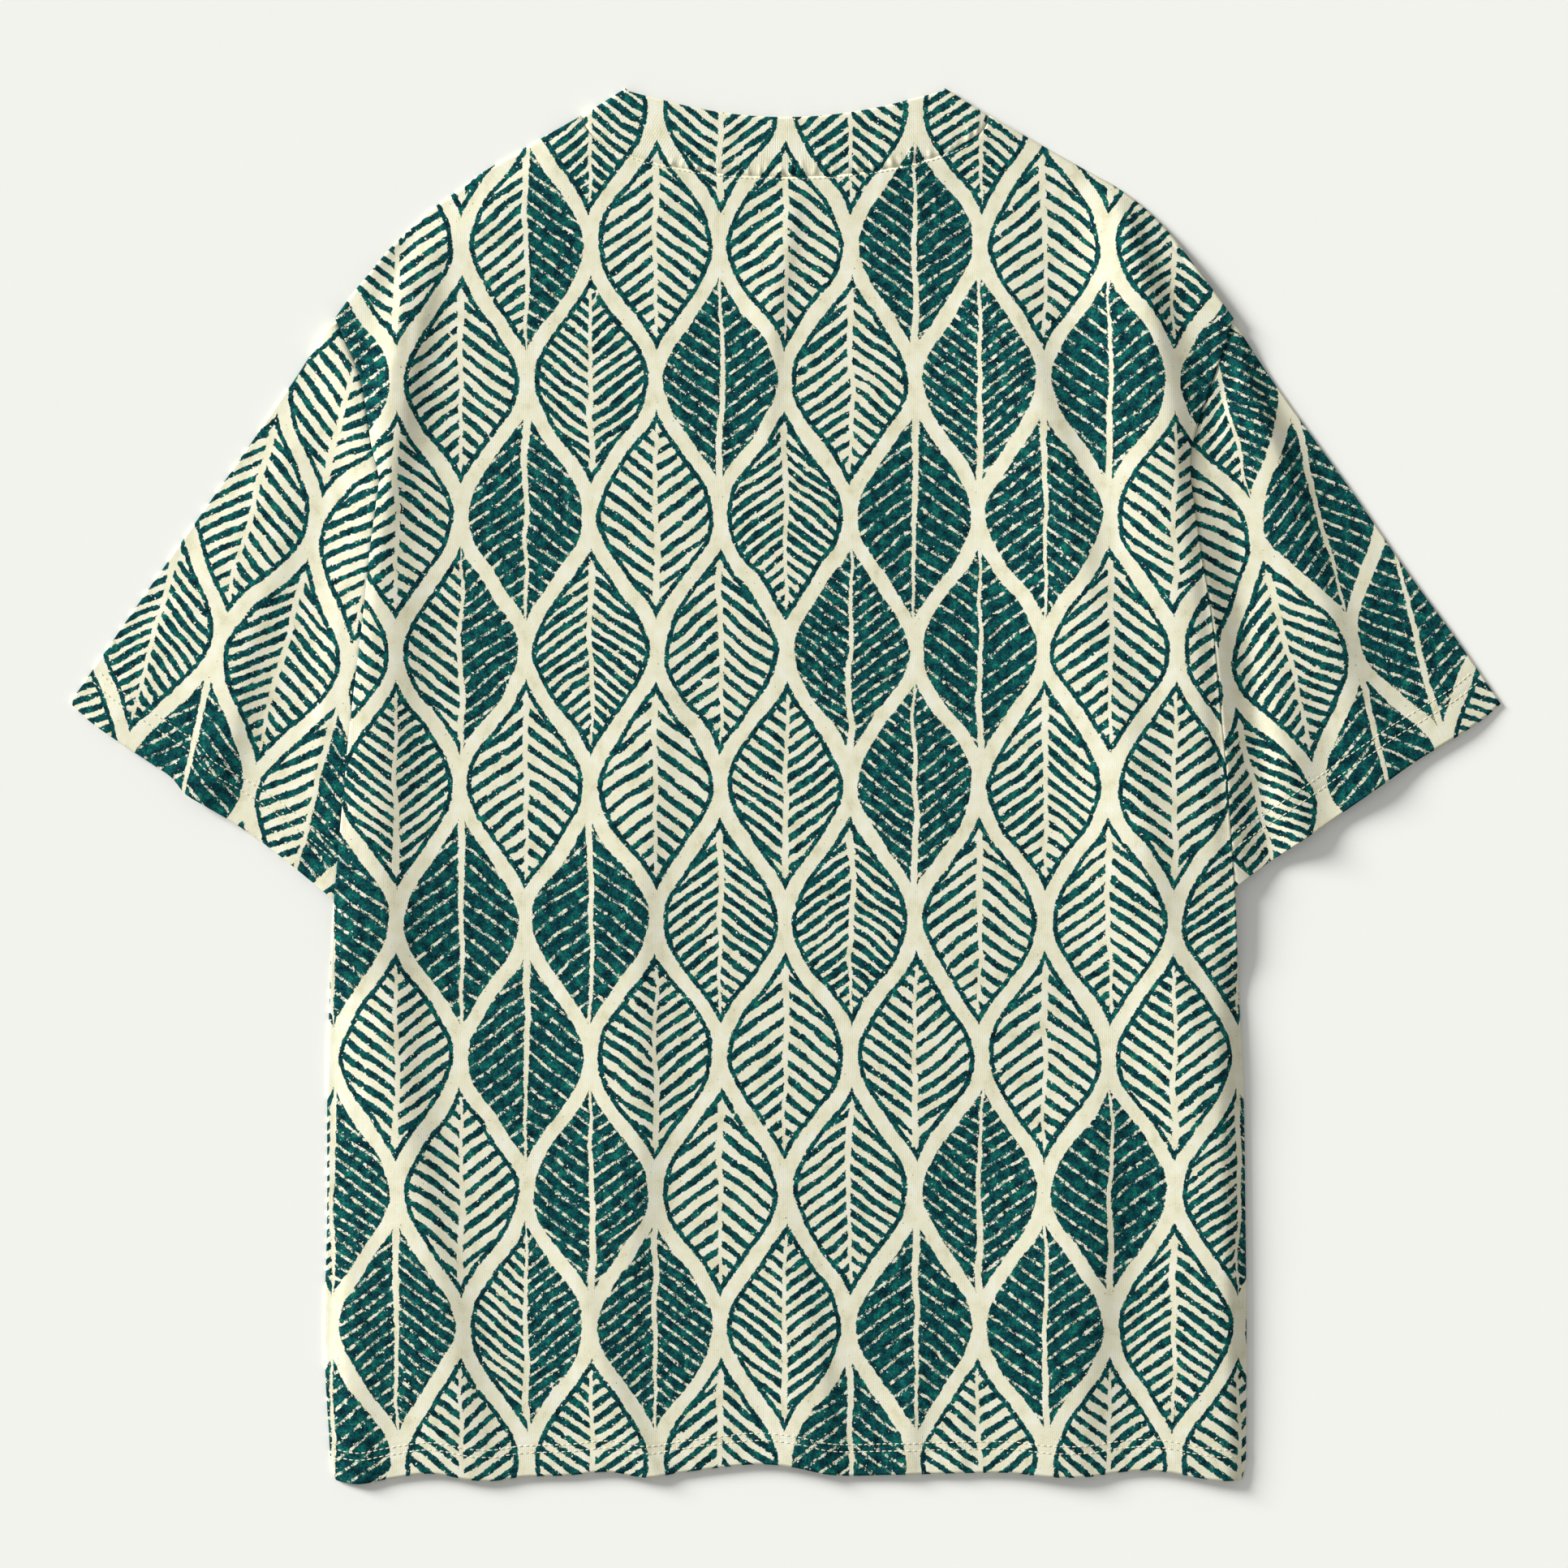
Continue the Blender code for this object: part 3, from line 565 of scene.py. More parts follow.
def panel_grid(neck_depth):
    """x and y of a body panel's points, a row for each step from the hem to the top edge. The columns that
    end at the neck are straight, and the others follow the side."""
    shoulder_y = LEFT_SHOULDER[-1][1]
    left_x, right_x = LEFT_EDGE[-1][1] - EDGE_INSET, RIGHT_EDGE[-1][1] - EDGE_INSET
    from_left, from_right = (spread(far - NECK_SEAM_HALF_WIDTH, SIDE_COLUMNS, SIDE_CROWDING)[:-1]
                             for far in (left_x, right_x))
    top_x = np.concatenate([from_left - left_x, neck_columns(NECK_COLUMNS), (right_x - from_right)[::-1]])
    corner_x = np.where(top_x < 0, left_x, right_x)
    follows = np.clip((np.abs(top_x) - NECK_SEAM_HALF_WIDTH) / (corner_x - NECK_SEAM_HALF_WIDTH), 0, 1)
    hem_rows = np.arange(HEM_ROWS) * HEM_ROW
    top_rows = 1 - np.arange(TOP_ROWS)[::-1] * TOP_ROW
    middle = np.linspace(hem_rows[-1], top_rows[0], MIDDLE_ROWS + 2)[1:-1]
    share_up = np.concatenate([hem_rows, middle, top_rows])

    low_y = hem(-LEFT_EDGE[0][1])
    side_y = blend(low_y, shoulder_y, share_up)[:, None]
    x = top_x + np.sign(top_x) * (half_width(top_x, side_y) - EDGE_INSET - corner_x) * follows
    return x, blend(hem(x[0]), top_edge(top_x, neck_depth), share_up[:, None])


def add_object(name, data):
    """A new object in the scene."""
    item = bpy.data.objects.new(name, data)
    bpy.context.scene.collection.objects.link(item)
    return item


def add_mesh(name, points, faces):
    """A new object, with a mesh of its own."""
    mesh = bpy.data.meshes.new(name)
    mesh.from_pydata((np.asarray(points) * MM).tolist(), [], faces)
    return add_object(name, mesh)


def grid_object(name, rows, cloth, closed_across=False):
    """An object whose mesh joins rows of points by quads. cloth is where each point lies on the flat cloth,
    or two such sets, one for each half of the quads of a closed row."""
    points = np.asarray(rows, float)
    count, across = points.shape[:2]
    index = np.arange(count * across).reshape(count, across)
    following = np.roll(index, -1, axis=1)
    if not closed_across:
        index, following = index[:, :-1], following[:, :-1]
    quads = np.stack([index[:-1], following[:-1], following[1:], index[1:]], axis=-1).reshape(-1, 4)
    piece = add_mesh(name, points.reshape(-1, 3), quads.tolist())
    flat = np.asarray(cloth, float)
    if flat.ndim == 3:
        corners = flat.reshape(-1, 2)[quads]
    else:
        halves = flat.reshape(2, -1, 2)
        second = (np.arange(len(quads)) % index.shape[1]) * 2 >= index.shape[1]
        corners = np.where(second[:, None, None], halves[1][quads], halves[0][quads])
    add_map(piece, "cloth", corners)
    return piece


def add_map(piece, name, corners):
    """A map of a mesh, in metres, from where each corner of its faces lies in millimetres."""
    layer = piece.data.uv_layers.new(name=name)
    layer.data.foreach_set("uv", (corners * MM).reshape(-1))


def give_wall(piece, thickness, side, share=None):
    """Makes an open surface a wall of cloth: side is 1 to add it outwards and -1 inwards. share is how much
    of the thickness each point has."""
    wall = piece.modifiers.new("wall", "SOLIDIFY")
    wall.thickness = thickness * MM
    wall.offset = side
    wall.use_even_offset = False
    wall.use_rim = True
    if share is not None:
        group = piece.vertex_groups.new(name="wall")
        for i, weight in enumerate(share.reshape(-1)):
            group.add([i], float(weight), "REPLACE")
        wall.vertex_group = group.name
    piece.data.shade_smooth()


def flattened(x, y, z):
    """Where a panel's points lie on its flat cloth: the folds take up width."""
    steps = np.hypot(np.diff(x, axis=1), np.diff(z, axis=1))
    u = np.concatenate([np.zeros((len(x), 1)), np.cumsum(steps, axis=1)], axis=1)
    middle = x.shape[1] // 2
    u = u - u[:, middle:middle + 1] + x[:, middle:middle + 1]
    return np.stack([u, y], axis=-1)


def make_panel(name, depth, underside, step=1):
    """A body panel with a neck of that depth, on the heights that underside gives for x and y."""
    x, y = (values[::step, ::step] for values in panel_grid(depth))
    z = underside(x, y)
    panel = grid_object(name, np.stack([x, y, z], axis=-1), flattened(x, y, z))
    from_seam = np.minimum(half_width(x, y) - np.abs(x), top_edge(x, depth) - y)
    give_wall(panel, WALL, 1, blend(SEAM_THINNING, 1, rounding(from_seam, SEAM_THIN_WIDTH)))
    return panel


def make_back():
    return make_panel("back_panel", BACK_SEAM_DEPTH, back_underside)


def make_front():
    return make_panel("front_panel", FRONT_SEAM_DEPTH, lambda x, y: np.full_like(x, FRONT_REST), FRONT_STEP)


class SleeveShape:
    """Where a sleeve's points lie: along from 0 at the armhole to 1 at the cuff, and across from 0 at the
    outer fold to 1 at the under-arm fold."""

    def __init__(self, side, folds):
        self.side, self.folds = side, folds
        self.sign = -1 if side == "left" else 1
        armhole = self.armhole_line(np.array([0.0, 1.0]))
        self.corner, self.hidden_corner = (np.array(c) for c in CUFF_CORNERS[side])
        self.over_arm = square_to(self.corner - armhole[0], armhole[0] - armhole[1])
        self.under_arm = square_to(self.hidden_corner - armhole[1], self.hidden_corner - self.corner)
        self.past_cuff = square_to(self.hidden_corner - self.corner, self.corner - armhole[0])
        self.bow = through(OVER_ARM[side])
        self.waves = through(CUFF_WAVES[side])
        self.fall = through(ARMHOLE_FALL[side])

    def armhole_line(self, across):
        """The edge at the armhole, tucked under the back."""
        y = blend(TUCKED_TOP_Y, TUCKED_BOTTOM_Y, across)
        tuck = blend(*TUCK, smooth_step(*TUCK_GROWS, across))
        return np.stack([self.sign * (half_width(self.sign, y) - tuck), y], axis=-1)

    def cuff_line(self, across):
        straight = blend(self.corner, self.hidden_corner, across[:, None])
        return straight + self.past_cuff * self.waves(across)[:, None]

    def line(self, along, across):
        """x and y of points, for arrays of along and across."""
        line = blend(self.armhole_line(across), self.cuff_line(across), np.reshape(along, (-1, 1)))
        return line + self.over_arm * (self.bow(along) * (1 - across) ** 2)[:, None]

    def faces(self, along, across):
        """Heights of the lower and upper face."""
        line = self.line(along, across)
        folded_edges = (self.line(along, np.full_like(across, end)) for end in (0, 1))
        from_fold = np.minimum(*(np.linalg.norm(line - edge, axis=1) for edge in folded_edges))
        from_cuff = (self.cuff_line(across) - line) @ self.past_cuff
        x, y = line.T
        outside = np.abs(x) - half_width(x, y)
        low = TUCK_REST * (1 - smooth_step(*STEP_DOWN, outside))
        opens = smooth_step(0, SLEEVE_EDGE_OPENS, from_fold)
        tucked = 1 - smooth_step(*SLEEVE_EDGE_CLOSES, outside)
        depth = blend(SLEEVE_EDGE_DEPTH, SLEEVE_DEPTH, np.maximum(opens, tucked))
        clear = smooth_step(0, SLEEVE_EDGE_FLAT, from_fold)
        lift = fold_heights(x, y, self.folds) * smooth_step(*PUFF_IN, outside)
        fade = (1 - np.clip(outside / self.fall(y), 0, 1)) ** ARMHOLE_FALL_BEND
        rise = armhole_rise(x, y) * fade * smooth_step(*ARMHOLE_RISE_IN, outside)
        return low, low + depth + (rise + lift + turned_up(from_cuff, CUFF_TURN, CUFF_STITCHES)) * clear


def leaned(points, side):
    """Where points, by their x and y, lie on a sleeve's cloth, whose grain leans."""
    angle = math.radians(PRINT_LEAN[side])
    x, y = points[..., 0], points[..., 1]
    return np.stack([x * math.cos(angle) - y * math.sin(angle),
                     x * math.sin(angle) + y * math.cos(angle)], axis=-1)


def make_sleeve(shape):
    """A flattened tube, built as rings from the armhole to the cuff round its outer skin."""
    side = shape.side
    near = spread(0.5, SLEEVE_ACROSS // 2, SLEEVE_FOLD_CROWDING)
    across = np.concatenate([near, 1 - near[-2::-1]])
    share = np.linspace(0, 1, SLEEVE_RINGS + 1)
    middle = len(FOLD_TURN) // 2
    rings, mirrored = [], []
    for place in share + SLEEVE_CROWDING * share * (1 - share):
        along = np.full_like(across, place)
        line = shape.line(along, across)
        low, high = shape.faces(along, across)
        reach = (high - low) / 2
        line[0] -= shape.over_arm * reach[0]
        line[-1] -= shape.under_arm * reach[-1]
        upper, lower = np.column_stack([line, high]), np.column_stack([line, low])
        top_turn = turn_round(upper[:1], low[:1], shape.over_arm, reach[0])
        low_turn = turn_round(upper[-1:], low[-1:], shape.under_arm, reach[-1])
        # The ring starts at the outermost point of the under-arm fold, so each half is one face.
        ring = np.concatenate([*low_turn[middle:], upper[::-1], *top_turn[::-1], lower, *low_turn[:middle]])
        if side == "right":
            ring = ring[::-1]
        from_fold = (ring[:, :2] - top_turn[middle][0, :2]) @ shape.over_arm
        rings.append(ring)
        mirrored.append(ring[:, :2] - 2 * from_fold[:, None] * shape.over_arm)
    upper, lower = (leaned(np.array(points), side) for points in (rings, mirrored))
    halves = (upper, lower) if side == "left" else (lower, upper)
    sleeve = grid_object("sleeve_%s_tube" % side, rings, halves, closed_across=True)
    give_wall(sleeve, WALL, -1)
    return sleeve


def square_to(edge, towards):
    """The unit direction at right angles to an edge that points the way of towards."""
    square = unit(np.array([edge[1], -edge[0]]))
    return square * np.sign(square @ towards)


def turn_round(line, low, outwards, reach):
    """Lines of points round a folded edge, from the lower face at low up to a line of the upper face."""
    middle, half = (line[:, 2] + low) / 2, (line[:, 2] - low) / 2
    found = []
    for angle in np.radians(FOLD_TURN):
        turned = line[:, :2] + outwards * reach * math.cos(angle)
        found.append(np.column_stack([turned, middle + half * math.sin(angle)]))
    return found


def make_collar():
    """A band with its inner edge at the neckline: across the back, over a shoulder, round the front."""
    share = -neck_columns(COLLAR_BACK_COLUMNS) / NECK_SEAM_HALF_WIDTH
    under = RIB_UNDER * (1 - smooth_step(*RIB_UNDER_ENDS, np.abs(share)))
    puckers = make_puckers()
    back = []
    for one, reach in zip(share, under):
        line, from_seam = collar_line(one, BACK_SEAM_DEPTH, BACK_EDGE_DEPTH, -reach, 1 - one**2)
        top = rib_top(from_seam) + pucker_heights(line[:, 0], from_seam, puckers)
        back.append(np.column_stack([line, top]))
    front = []
    for turn in np.linspace(0, math.pi, COLLAR_FRONT_COLUMNS + 1):
        line, _ = collar_line(math.cos(turn), FRONT_SEAM_DEPTH, FRONT_EDGE_DEPTH, SEAM_GAP, math.sin(turn))
        front.append(np.column_stack([line, np.full(len(line), COLLAR_REST)]))
    right_fold, left_fold = fold_over(back[-1], 1)[::-1], fold_over(back[0], -1)
    rows = np.array(back + right_fold + front[::-1] + left_fold).transpose(1, 0, 2)
    collar = grid_object("collar_rib", rows, rows[..., :2], closed_across=True)
    give_ribs(collar, rows)
    give_wall(collar, RIB_WALL, -1)
    return collar


def collar_line(share, seam_depth, edge_depth, start, edge_dip):
    """Points across the collar's band, from start to the neckline, and how far each is from the seam. share
    runs from 1, left, to -1, right."""
    x = -share * NECK_SEAM_HALF_WIDTH
    seam = np.array([x, float(neck_seam(x, seam_depth))])
    edge = np.array([-share * NECK_EDGE_HALF_WIDTH, NECK_EDGE_SIDE_Y - edge_depth * edge_dip])
    width = np.linalg.norm(edge - seam)
    across = (edge - seam) / width
    ends = smooth_step(*COLLAR_SIDE, abs(share)) * COLLAR_SKIN / 2
    inside = np.array([across[1] * np.sign(share), -across[0] * np.sign(share)]) * ends
    from_seam = blend(start, width, crowded_ends(COLLAR_ACROSS))
    return seam + inside + across * from_seam[:, None], from_seam


def crowded_ends(count):
    """Shares from 0 to 1, closer together at both ends."""
    share = np.linspace(0, 1, count + 1)
    return share - COLLAR_CROWDING * np.sin(math.tau * share)


def rib_top(from_seam):
    """Height of the rib's upper face, from beneath the back's edge to the rounded neckline."""
    width, drop = RIB_EDGE_ROUND
    return rib_rise(from_seam) - drop * (1 - rounding(from_seam[-1] - from_seam, width))


def make_puckers():
    """Rows of x at the seam, height, length, slant and width, one for each pucker."""
    chance = np.random.default_rng(PUCKER_SEED)
    place, last = PUCKERS_FROM_TO
    rows = []
    while place < last:
        rows.append((place, chance.uniform(*PUCKER_HEIGHT), chance.uniform(*PUCKER_LENGTH),
                     chance.uniform(*PUCKER_SLANT), chance.uniform(*PUCKER_WIDTH)))
        place += chance.uniform(*PUCKER_STEP)
    return rows


def pucker_heights(x, from_seam, puckers):
    total = np.zeros_like(x)
    for place, height, length, slant, width in puckers:
        aside = x - place - slant * from_seam
        fade = between((0, PUCKER_STARTS), (PUCKER_FADES_FROM * length, length), from_seam)
        total += height * fade * bell(aside, width)
    return total


def fold_over(line, side):
    """Lines across the band round its fold at a shoulder: side is 1 on the right and -1 on the left."""
    along = unit(line[-1, :2] - line[0, :2])
    return turn_round(line, COLLAR_REST, np.array([along[1], -along[0]]) * side, COLLAR_SKIN / 2)


def give_ribs(collar, rows):
    """A second map of the band, which runs along it, in metres."""
    steps = np.linalg.norm(np.diff(rows[RIB_LINE], axis=0, append=rows[RIB_LINE, :1]), axis=1)
    along = np.concatenate([[0], np.cumsum(steps)])
    count, across = len(rows) - 1, rows.shape[1]
    column = np.tile(np.arange(across), count)
    row = np.repeat(np.arange(count), across)
    corners = np.stack([np.stack([along[column + i], row + j], axis=-1)
                        for i, j in ((0, 0), (1, 0), (1, 1), (0, 1))], axis=1)
    add_map(collar, "ribs", corners)


def add_node(tree, kind, inputs, **settings):
    """A new node of a material. inputs says, by name or place, each number or what is linked to it."""
    node = tree.nodes.new("ShaderNode" + kind)
    for name, value in settings.items():
        setattr(node, name, value)
    for name, value in inputs.items():
        if isinstance(value, Shade):
            value = value.socket
        if isinstance(value, bpy.types.NodeSocket):
            tree.links.new(value, node.inputs[name])
        else:
            node.inputs[name].default_value = value
    return node


def working(operation):
    """A method of Shade that works one of the Math node's operations."""
    return lambda shade, *others: shade.work(operation, *others)


class Shade:
    """A number that varies over a surface, so that a material's nodes can be written as a formula."""

    def __init__(self, tree, socket):
        self.tree, self.socket = tree, socket

    def work(self, operation, *others):
        node = add_node(self.tree, "Math", dict(enumerate((self, *others))), operation=operation)
        return Shade(self.tree, node.outputs[0])

    __add__ = working("ADD")
    __sub__ = working("SUBTRACT")
    __mul__ = working("MULTIPLY")
    __truediv__ = working("DIVIDE")
    least = working("MINIMUM")
    most = working("MAXIMUM")
    over = working("GREATER_THAN")  # 1 where this is greater than the other, and 0 elsewhere
    size = working("ABSOLUTE")
    nearest = working("ROUND")
    floor = working("FLOOR")
    part = working("FRACT")
    cosine = working("COSINE")

    def soft_step(self, low, high):
        """0 below low, 1 above high, and a smooth rise between them."""
        node = add_node(self.tree, "MapRange", {"From Min": low, "From Max": high, "Value": self},
                        interpolation_type="SMOOTHSTEP")
        return Shade(self.tree, node.outputs["Result"])

    def choose(self, where_one, where_zero):
        """One of two shades, by whether this is 1 or 0."""
        return blend(where_zero, where_one, self)


class Cloth:
    """Places on a piece's flat cloth, in millimetres, for the nodes of one material."""

    def __init__(self, tree, layer="cloth"):
        self.tree = tree
        place = add_node(tree, "UVMap", {}, uv_map=layer)
        self.place = self.vector("SCALE", {0: place.outputs["UV"], "Scale": 1 / MM})

    def vector(self, operation, inputs):
        return add_node(self.tree, "VectorMath", inputs, operation=operation).outputs["Vector"]

    def noise(self, grain, offset, detail=1.0, stretch=1.0):
        """The noise node of blots of that grain, in millimetres."""
        moved = self.vector("ADD", {0: self.place, 1: (offset, offset * NOISE_STEP_UP, 0.0)})
        scaled = self.vector("MULTIPLY", {0: moved, 1: (1 / grain, 1 / (grain * stretch), 0.0)})
        return add_node(self.tree, "TexNoise", {"Scale": 1.0, "Detail": detail, "Vector": scaled},
                        noise_dimensions="2D")

    def blots(self, *kind):
        """Noise about zero, from -0.5 to 0.5."""
        return Shade(self.tree, self.noise(*kind).outputs[0]) - 0.5

    def layers(self, rows):
        """Blots of several kinds, each in its strength, added up."""
        first, *others = (self.blots(*kind) * strength for strength, *kind in rows)
        return sum(others, first)

    def wander(self, kind, reach):
        """Moves every place by up to half of reach, so that straight edges waver."""
        centred = self.vector("SUBTRACT", {0: self.noise(*kind).outputs["Color"], 1: (0.5, 0.5, 0.5)})
        moved = self.vector("SCALE", {0: centred, "Scale": reach})
        self.place = self.vector("ADD", {0: self.place, 1: moved})

    def across_and_up(self):
        parts = add_node(self.tree, "SeparateXYZ", {"Vector": self.place})
        return Shade(self.tree, parts.outputs["X"]), Shade(self.tree, parts.outputs["Y"])


def leaf_print(cloth):
    """How much ink lies at each place: block-printed pointed leaves, in columns that are dropped by half."""
    tree = cloth.tree
    cloth.wander(WAVER_BLOTS, WAVER_REACH)
    u, v = cloth.across_and_up()
    cycle = v * (math.tau / LEAF_LENGTH)
    swell = (cycle.cosine() + 1.0) * (LEAF_WIDTH / 4)
    columns, rows = u / LEAF_WIDTH, v / LEAF_LENGTH

    # Each place is in a leaf of the even set or of the odd one, which fills the room between.
    even_x = (columns - columns.nearest()) * LEAF_WIDTH
    odd_x = (columns.part() - 0.5) * LEAF_WIDTH
    even = swell.over(even_x.size())
    x = even.choose(even_x, odd_x)
    half = even.choose(swell, swell * -1.0 + LEAF_WIDTH / 2)
    y = even.choose(rows - rows.nearest(), rows.part() - 0.5) * LEAF_LENGTH
    cell = add_node(tree, "CombineXYZ", {"X": even.choose(columns.nearest(), columns.floor()),
                                         "Y": even.choose(rows.nearest(), rows.floor()), "Z": even})
    chance = add_node(tree, "TexWhiteNoise", {"Vector": cell.outputs["Vector"]}, noise_dimensions="3D")
    lots = add_node(tree, "SeparateColor", {"Color": chance.outputs["Color"]})
    way, spacing, style = (Shade(tree, lots.outputs[i]) for i in range(3))
    up = way.over(0.5) * 2.0 - 1.0
    y = y * up
    side = x.over(0.0)
    away = x.size()

    steep = (cycle.cosine() * cycle.cosine() * -1.0 + 1.0) * LEAF_EDGE_SLANT
    inside = (half - away) * (steep * -1.0 + 1.0) - LEAF_GAP / 2
    beside_midrib = away - (y * -1.0 / LEAF_LENGTH + 0.5) * (MIDRIB_BASE - MIDRIB_TIP) - MIDRIB_TIP
    step = spacing * (VEIN_STEP[1] - VEIN_STEP[0]) + VEIN_STEP[0]
    turn = (y - away * VEIN_RISE) / step + side * 0.5 + style * VEIN_SHIFT
    from_vein = (turn.part() - 0.5).size() * step / math.hypot(1, VEIN_RISE)

    weight = cloth.blots(*VEIN_BLOTS) * VEIN_VARIES + VEIN_HALF_WIDTH
    worn = (cloth.blots(*WORN_BLOTS) * -1.0 - WORN_FROM).most(0.0) * WORN_DEPTH
    outline = (inside - LEAF_OUTLINE / 2).size() * -1.0 + LEAF_OUTLINE / 2
    within = inside.least(beside_midrib)
    lined = within.least(weight - from_vein).most(outline) - worn
    carved = within.least((from_vein - CARVED_HALF_WIDTH).most(worn * -1.0))
    solid = (style + side * HALF_SOLID).over(SOLID_FROM)
    depth = solid.choose(carved, lined) + cloth.layers(INK_EDGE_LAYERS)
    depth = depth - (cloth.blots(*PINHOLE_BLOTS) - PINHOLES_FROM).most(0.0) * PINHOLE_DEPTH
    flecks = cloth.blots(*FLECK_BLOTS).soft_step(*FLECKS_FROM_TO)
    return depth.soft_step(-INK_EDGE, INK_EDGE).most(flecks * FLECK_INK)


def coloured(tree, shade, stops):
    """A colour ramp over a shade. stops are rows of place and colour."""
    ramp = add_node(tree, "ValToRGB", {"Fac": shade})
    elements = ramp.color_ramp.elements
    while len(elements) < len(stops):
        elements.new(0.5)
    for element, (place, colour) in zip(elements, stops):
        element.position = place
        element.color = (*colour, 1.0)
    return ramp.outputs["Color"]


def knit(u, v):
    """Height of a fine jersey's face: columns of V-shaped stitches."""
    wale = (u / KNIT_WALE).part() - 0.5
    leg = (v / KNIT_COURSE + wale.size() * KNIT_SLANT).part() - 0.5
    return (wale.size() * -2.0 + 1.0).least(leg.size() * -2.0 + 1.0) * KNIT_HEIGHT


def new_material(name, look):
    """A material, its nodes and its shader. look is what is the same all over it."""
    material = bpy.data.materials.new(name)
    material.use_nodes = True
    shader = material.node_tree.nodes["Principled BSDF"]
    for socket, value in look.items():
        shader.inputs[socket].default_value = value
    return material, material.node_tree, shader


def cotton(name, ribbed=False):
    """Printed cotton: cream cloth with worn ink on it, over a fine knit."""
    material, tree, shader = new_material(name, COTTON)
    cloth = Cloth(tree)
    height = knit(*cloth.across_and_up()) + cloth.layers(CREASE_LAYERS)
    if ribbed:
        band, _ = Cloth(tree, "ribs").across_and_up()
        height = height + (band * (math.tau / RIB_STEP)).cosine() * RIB_HEIGHT
    bump = add_node(tree, "Bump", {"Distance": MM, "Height": height})
    tree.links.new(bump.outputs["Normal"], shader.inputs["Normal"])

    cream = coloured(tree, cloth.layers(CREAM_LAYERS) + 0.5, CREAM)
    ink = coloured(tree, cloth.layers(INK_LAYERS) + 0.5, INK)
    mix = add_node(tree, "Mix", {"Factor": leaf_print(cloth), "A": cream, "B": ink}, data_type="RGBA")
    tree.links.new(mix.outputs["Result"], shader.inputs["Base Color"])
    return material


def thread(name):
    """Plain sewing thread, with its twist."""
    material, tree, shader = new_material(name, SPUN_THREAD)
    place = add_node(tree, "NewGeometry", {})
    wave = add_node(tree, "TexWave", {"Scale": THREAD_TWIST, "Vector": place.outputs["Position"]},
                    bands_direction="DIAGONAL")
    colour = coloured(tree, Shade(tree, wave.outputs["Fac"]), THREAD)
    tree.links.new(colour, shader.inputs["Base Color"])
    return material


def make_stitches(name, lines, stitch):
    """One mesh of stitches, laid end to end along lines of points on the cloth."""
    step, length, radius = stitch
    turns = np.arange(STITCH_SIDES) * math.tau / STITCH_SIDES
    ring = np.stack([np.cos(turns), np.sin(turns)], axis=-1) * radius
    verts, faces = [], []
    for line in lines:
        line = np.asarray(line, float)
        run = np.concatenate([[0], np.cumsum(np.linalg.norm(np.diff(line, axis=0), axis=1))])
        for start in np.arange(step / 2, run[-1] - step / 2, step):
            low, middle, high = (np.array([np.interp(start + d, run, line[:, i]) for i in range(3)])
                                 for d in (-length / 2, 0, length / 2))
            along = unit(high - low)
            aside = unit(np.cross((0, 0, 1), along))
            upwards = np.cross(along, aside)
            base = len(verts)
            for place, width in STITCH_PROFILE:
                sunk = radius * (1 - width) * STITCH_ENDS_SINK
                centre = middle + along * place * length - upwards * sunk
                verts += [centre + (aside * a + upwards * b) * width for a, b in ring]
            last = base + (len(STITCH_PROFILE) - 1) * STITCH_SIDES
            faces.append([base + i for i in range(STITCH_SIDES)][::-1])
            faces.append([last + i for i in range(STITCH_SIDES)])
            for level in range(base, last, STITCH_SIDES):
                for i in range(STITCH_SIDES):
                    j = (i + 1) % STITCH_SIDES
                    faces.append((level + i, level + j, level + STITCH_SIDES + j, level + STITCH_SIDES + i))
    stitches = add_mesh(name, verts, faces)
    stitches.data.shade_smooth()
    return stitches


def on_back(x, y):
    """Where the middles of stitches lie on the back."""
    return np.stack([x, y, back_underside(x, y) + WALL + STITCH_STANDS], axis=-1)


def make_hem_stitches():
    x = np.linspace(*HEM_STITCH_LINE)
    return make_stitches("hem_stitches", [on_back(x, hem(x) + up) for up in HEM_STITCHES], STITCH)


def make_neck_stitches():
    x = np.linspace(*NECK_STITCH_LINE)
    line = on_back(x, neck_seam(x, BACK_SEAM_DEPTH) - NECK_STITCH_INSIDE)
    return make_stitches("neck_stitches", [line], NECK_STITCH)


def make_cuff_stitches(shape):
    """Two rows round the upper face of a cuff."""
    across = np.linspace(*CUFF_STITCH_LINE)
    armhole, cuff = shape.line(np.zeros_like(across), across), shape.line(np.ones_like(across), across)
    full = (cuff - armhole) @ shape.past_cuff
    lines = []
    for row in CUFF_STITCHES:
        along = 1 - row / full
        _, high = shape.faces(along, across)
        line = shape.line(along, across)
        outside = np.abs(line[:, 0]) - half_width(line[:, 0], line[:, 1])
        line = np.column_stack([line, high + STITCH_STANDS])
        lines.append(line[outside > CUFF_STITCHES_OUTSIDE])
    return make_stitches("cuff_%s_stitches" % shape.side, lines, STITCH)


def lamp_place():
    """The lamp's middle, in metres."""
    level = LAMP_DISTANCE * math.cos(math.radians(LAMP_ELEVATION)) / math.hypot(*LAMP_FROM)
    height = LAMP_DISTANCE * math.sin(math.radians(LAMP_ELEVATION))
    return (LAMP_FROM[0] * level, LAMP_FROM[1] * level, height)


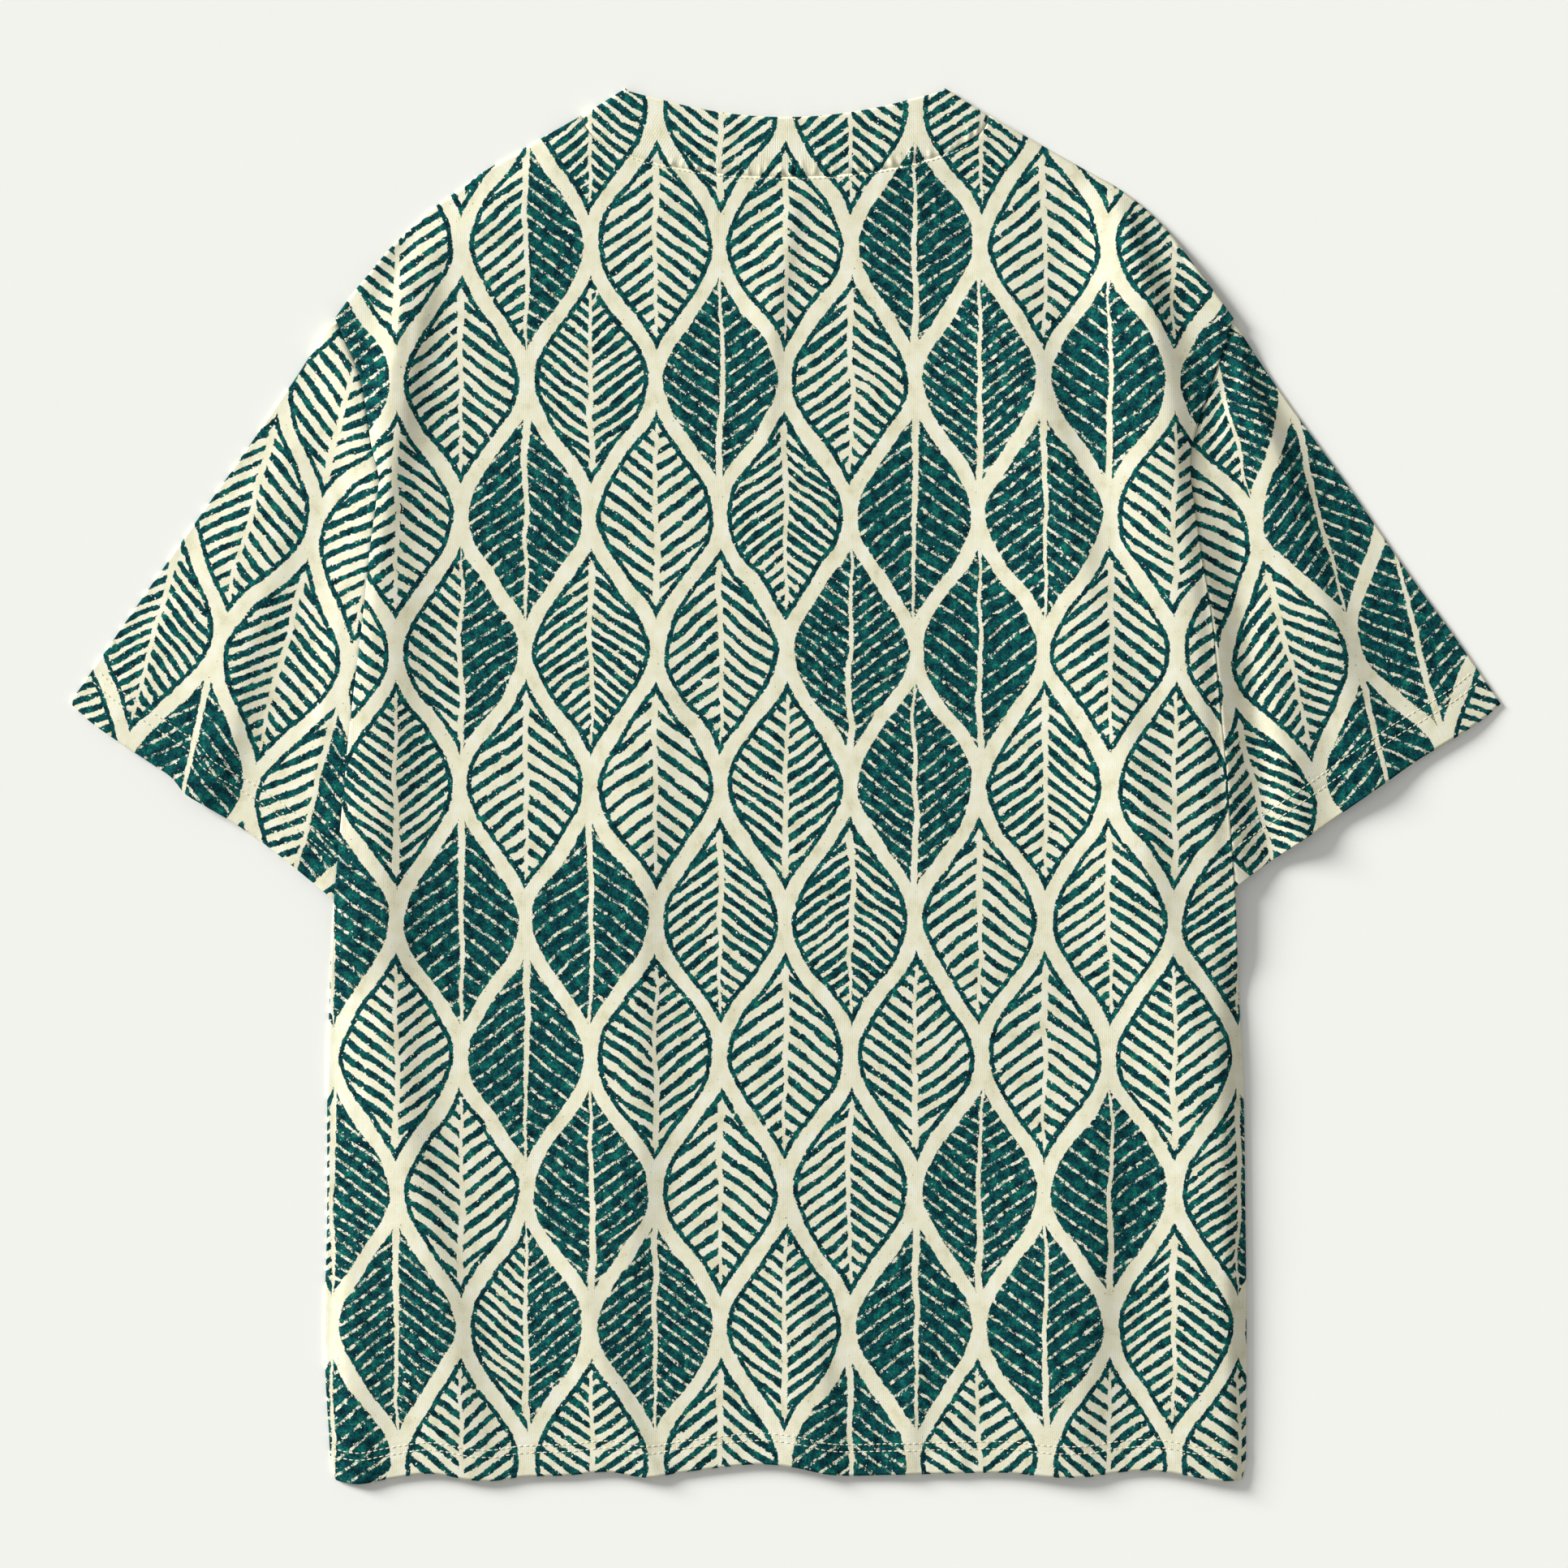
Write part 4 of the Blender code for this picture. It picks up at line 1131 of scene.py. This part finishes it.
def make_floor():
    """A pale floor, a little darker towards the lamp, so that it looks even all over."""
    half = FLOOR_SIZE / 2
    corners = [(half * i, half * j, FLOOR_Z) for i, j in ((-1, -1), (1, -1), (1, 1), (-1, 1))]
    floor = add_mesh("floor", corners, [(0, 1, 2, 3)])
    material, tree, shader = new_material("floor_paper", PAPER)
    place = add_node(tree, "NewGeometry", {})
    distance = add_node(tree, "VectorMath", {0: place.outputs["Position"], 1: lamp_place()},
                        operation="DISTANCE")
    nearness = Shade(tree, distance.outputs["Value"]) / LAMP_DISTANCE
    lit = nearness.work("POWER", LAMP_FALL) * LAMP_SHARE + (1 - LAMP_SHARE)
    evened = add_node(tree, "VectorMath", {0: FLOOR_COLOUR, "Scale": lit.work("POWER", -1.0)},
                      operation="SCALE")
    tree.links.new(evened.outputs["Vector"], shader.inputs["Base Color"])
    floor.data.materials.append(material)


def make_camera():
    data = bpy.data.cameras.new("camera")
    data.lens = CAMERA_LENS
    data.sensor_width = CAMERA_SENSOR
    data.clip_start, data.clip_end = CAMERA_CLIP
    camera = add_object("camera", data)
    camera.location = CAMERA_AT
    bpy.context.scene.camera = camera


def make_light():
    data = bpy.data.lights.new("lamp", "AREA")
    data.shape = "DISK"
    data.size = LAMP_WIDTH
    data.energy = LAMP_POWER
    lamp = add_object("lamp", data)
    lamp.location = lamp_place()
    lamp.rotation_euler = (math.radians(90 - LAMP_ELEVATION), 0, math.atan2(LAMP_FROM[0], -LAMP_FROM[1]))
    world = bpy.data.worlds.new("sky")
    world.use_nodes = True
    sky = world.node_tree.nodes["Background"].inputs
    sky["Color"].default_value = SKY_COLOUR
    sky["Strength"].default_value = SKY_STRENGTH
    bpy.context.scene.world = world
    bpy.context.scene.view_settings.view_transform = "Standard"


def flat_area(piece):
    """Area of a piece's cloth as cut, in square metres: all round on a tube."""
    corners = np.empty(len(piece.data.loops) * 2)
    piece.data.uv_layers["cloth"].data.foreach_get("uv", corners)
    quads = corners.reshape(-1, 4, 2)
    (ax, ay), (bx, by) = (quads[:, 2] - quads[:, 0]).T, (quads[:, 3] - quads[:, 1]).T
    return float(np.abs(ax * by - ay * bx).sum() / 2)


def dress(piece, material):
    """Gives a piece its material and its slot, and sets it on the body."""
    piece.data.materials.append(material)
    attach(piece, BODY)
    return piece


def lay(piece, node):
    """Hides the solid that a piece of cloth stands for, and works out the area of its cloth as cut."""
    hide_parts(node)
    flat_area(piece)


def make_shirt():
    jersey, rib = cotton("printed_jersey"), cotton("printed_rib", ribbed=True)
    cotton_thread = thread("cotton_thread")
    back, front = (dress(piece, jersey) for piece in (make_back(), make_front()))
    collar = dress(make_collar(), rib)
    for side, folds in (("left", LEFT_SLEEVE_FOLDS), ("right", RIGHT_SLEEVE_FOLDS)):
        shape = SleeveShape(side, folds)
        sleeve = dress(make_sleeve(shape), jersey)
        stitches = dress(make_cuff_stitches(shape), cotton_thread)
        lay(sleeve, "sleeve_%s" % side)
    sewing = [dress(piece, cotton_thread) for piece in (make_hem_stitches(), make_neck_stitches())]
    lay(front, "front")
    lay(collar, "collar")
    lay(back, "back")


make_floor()
make_camera()
make_light()
make_shirt()
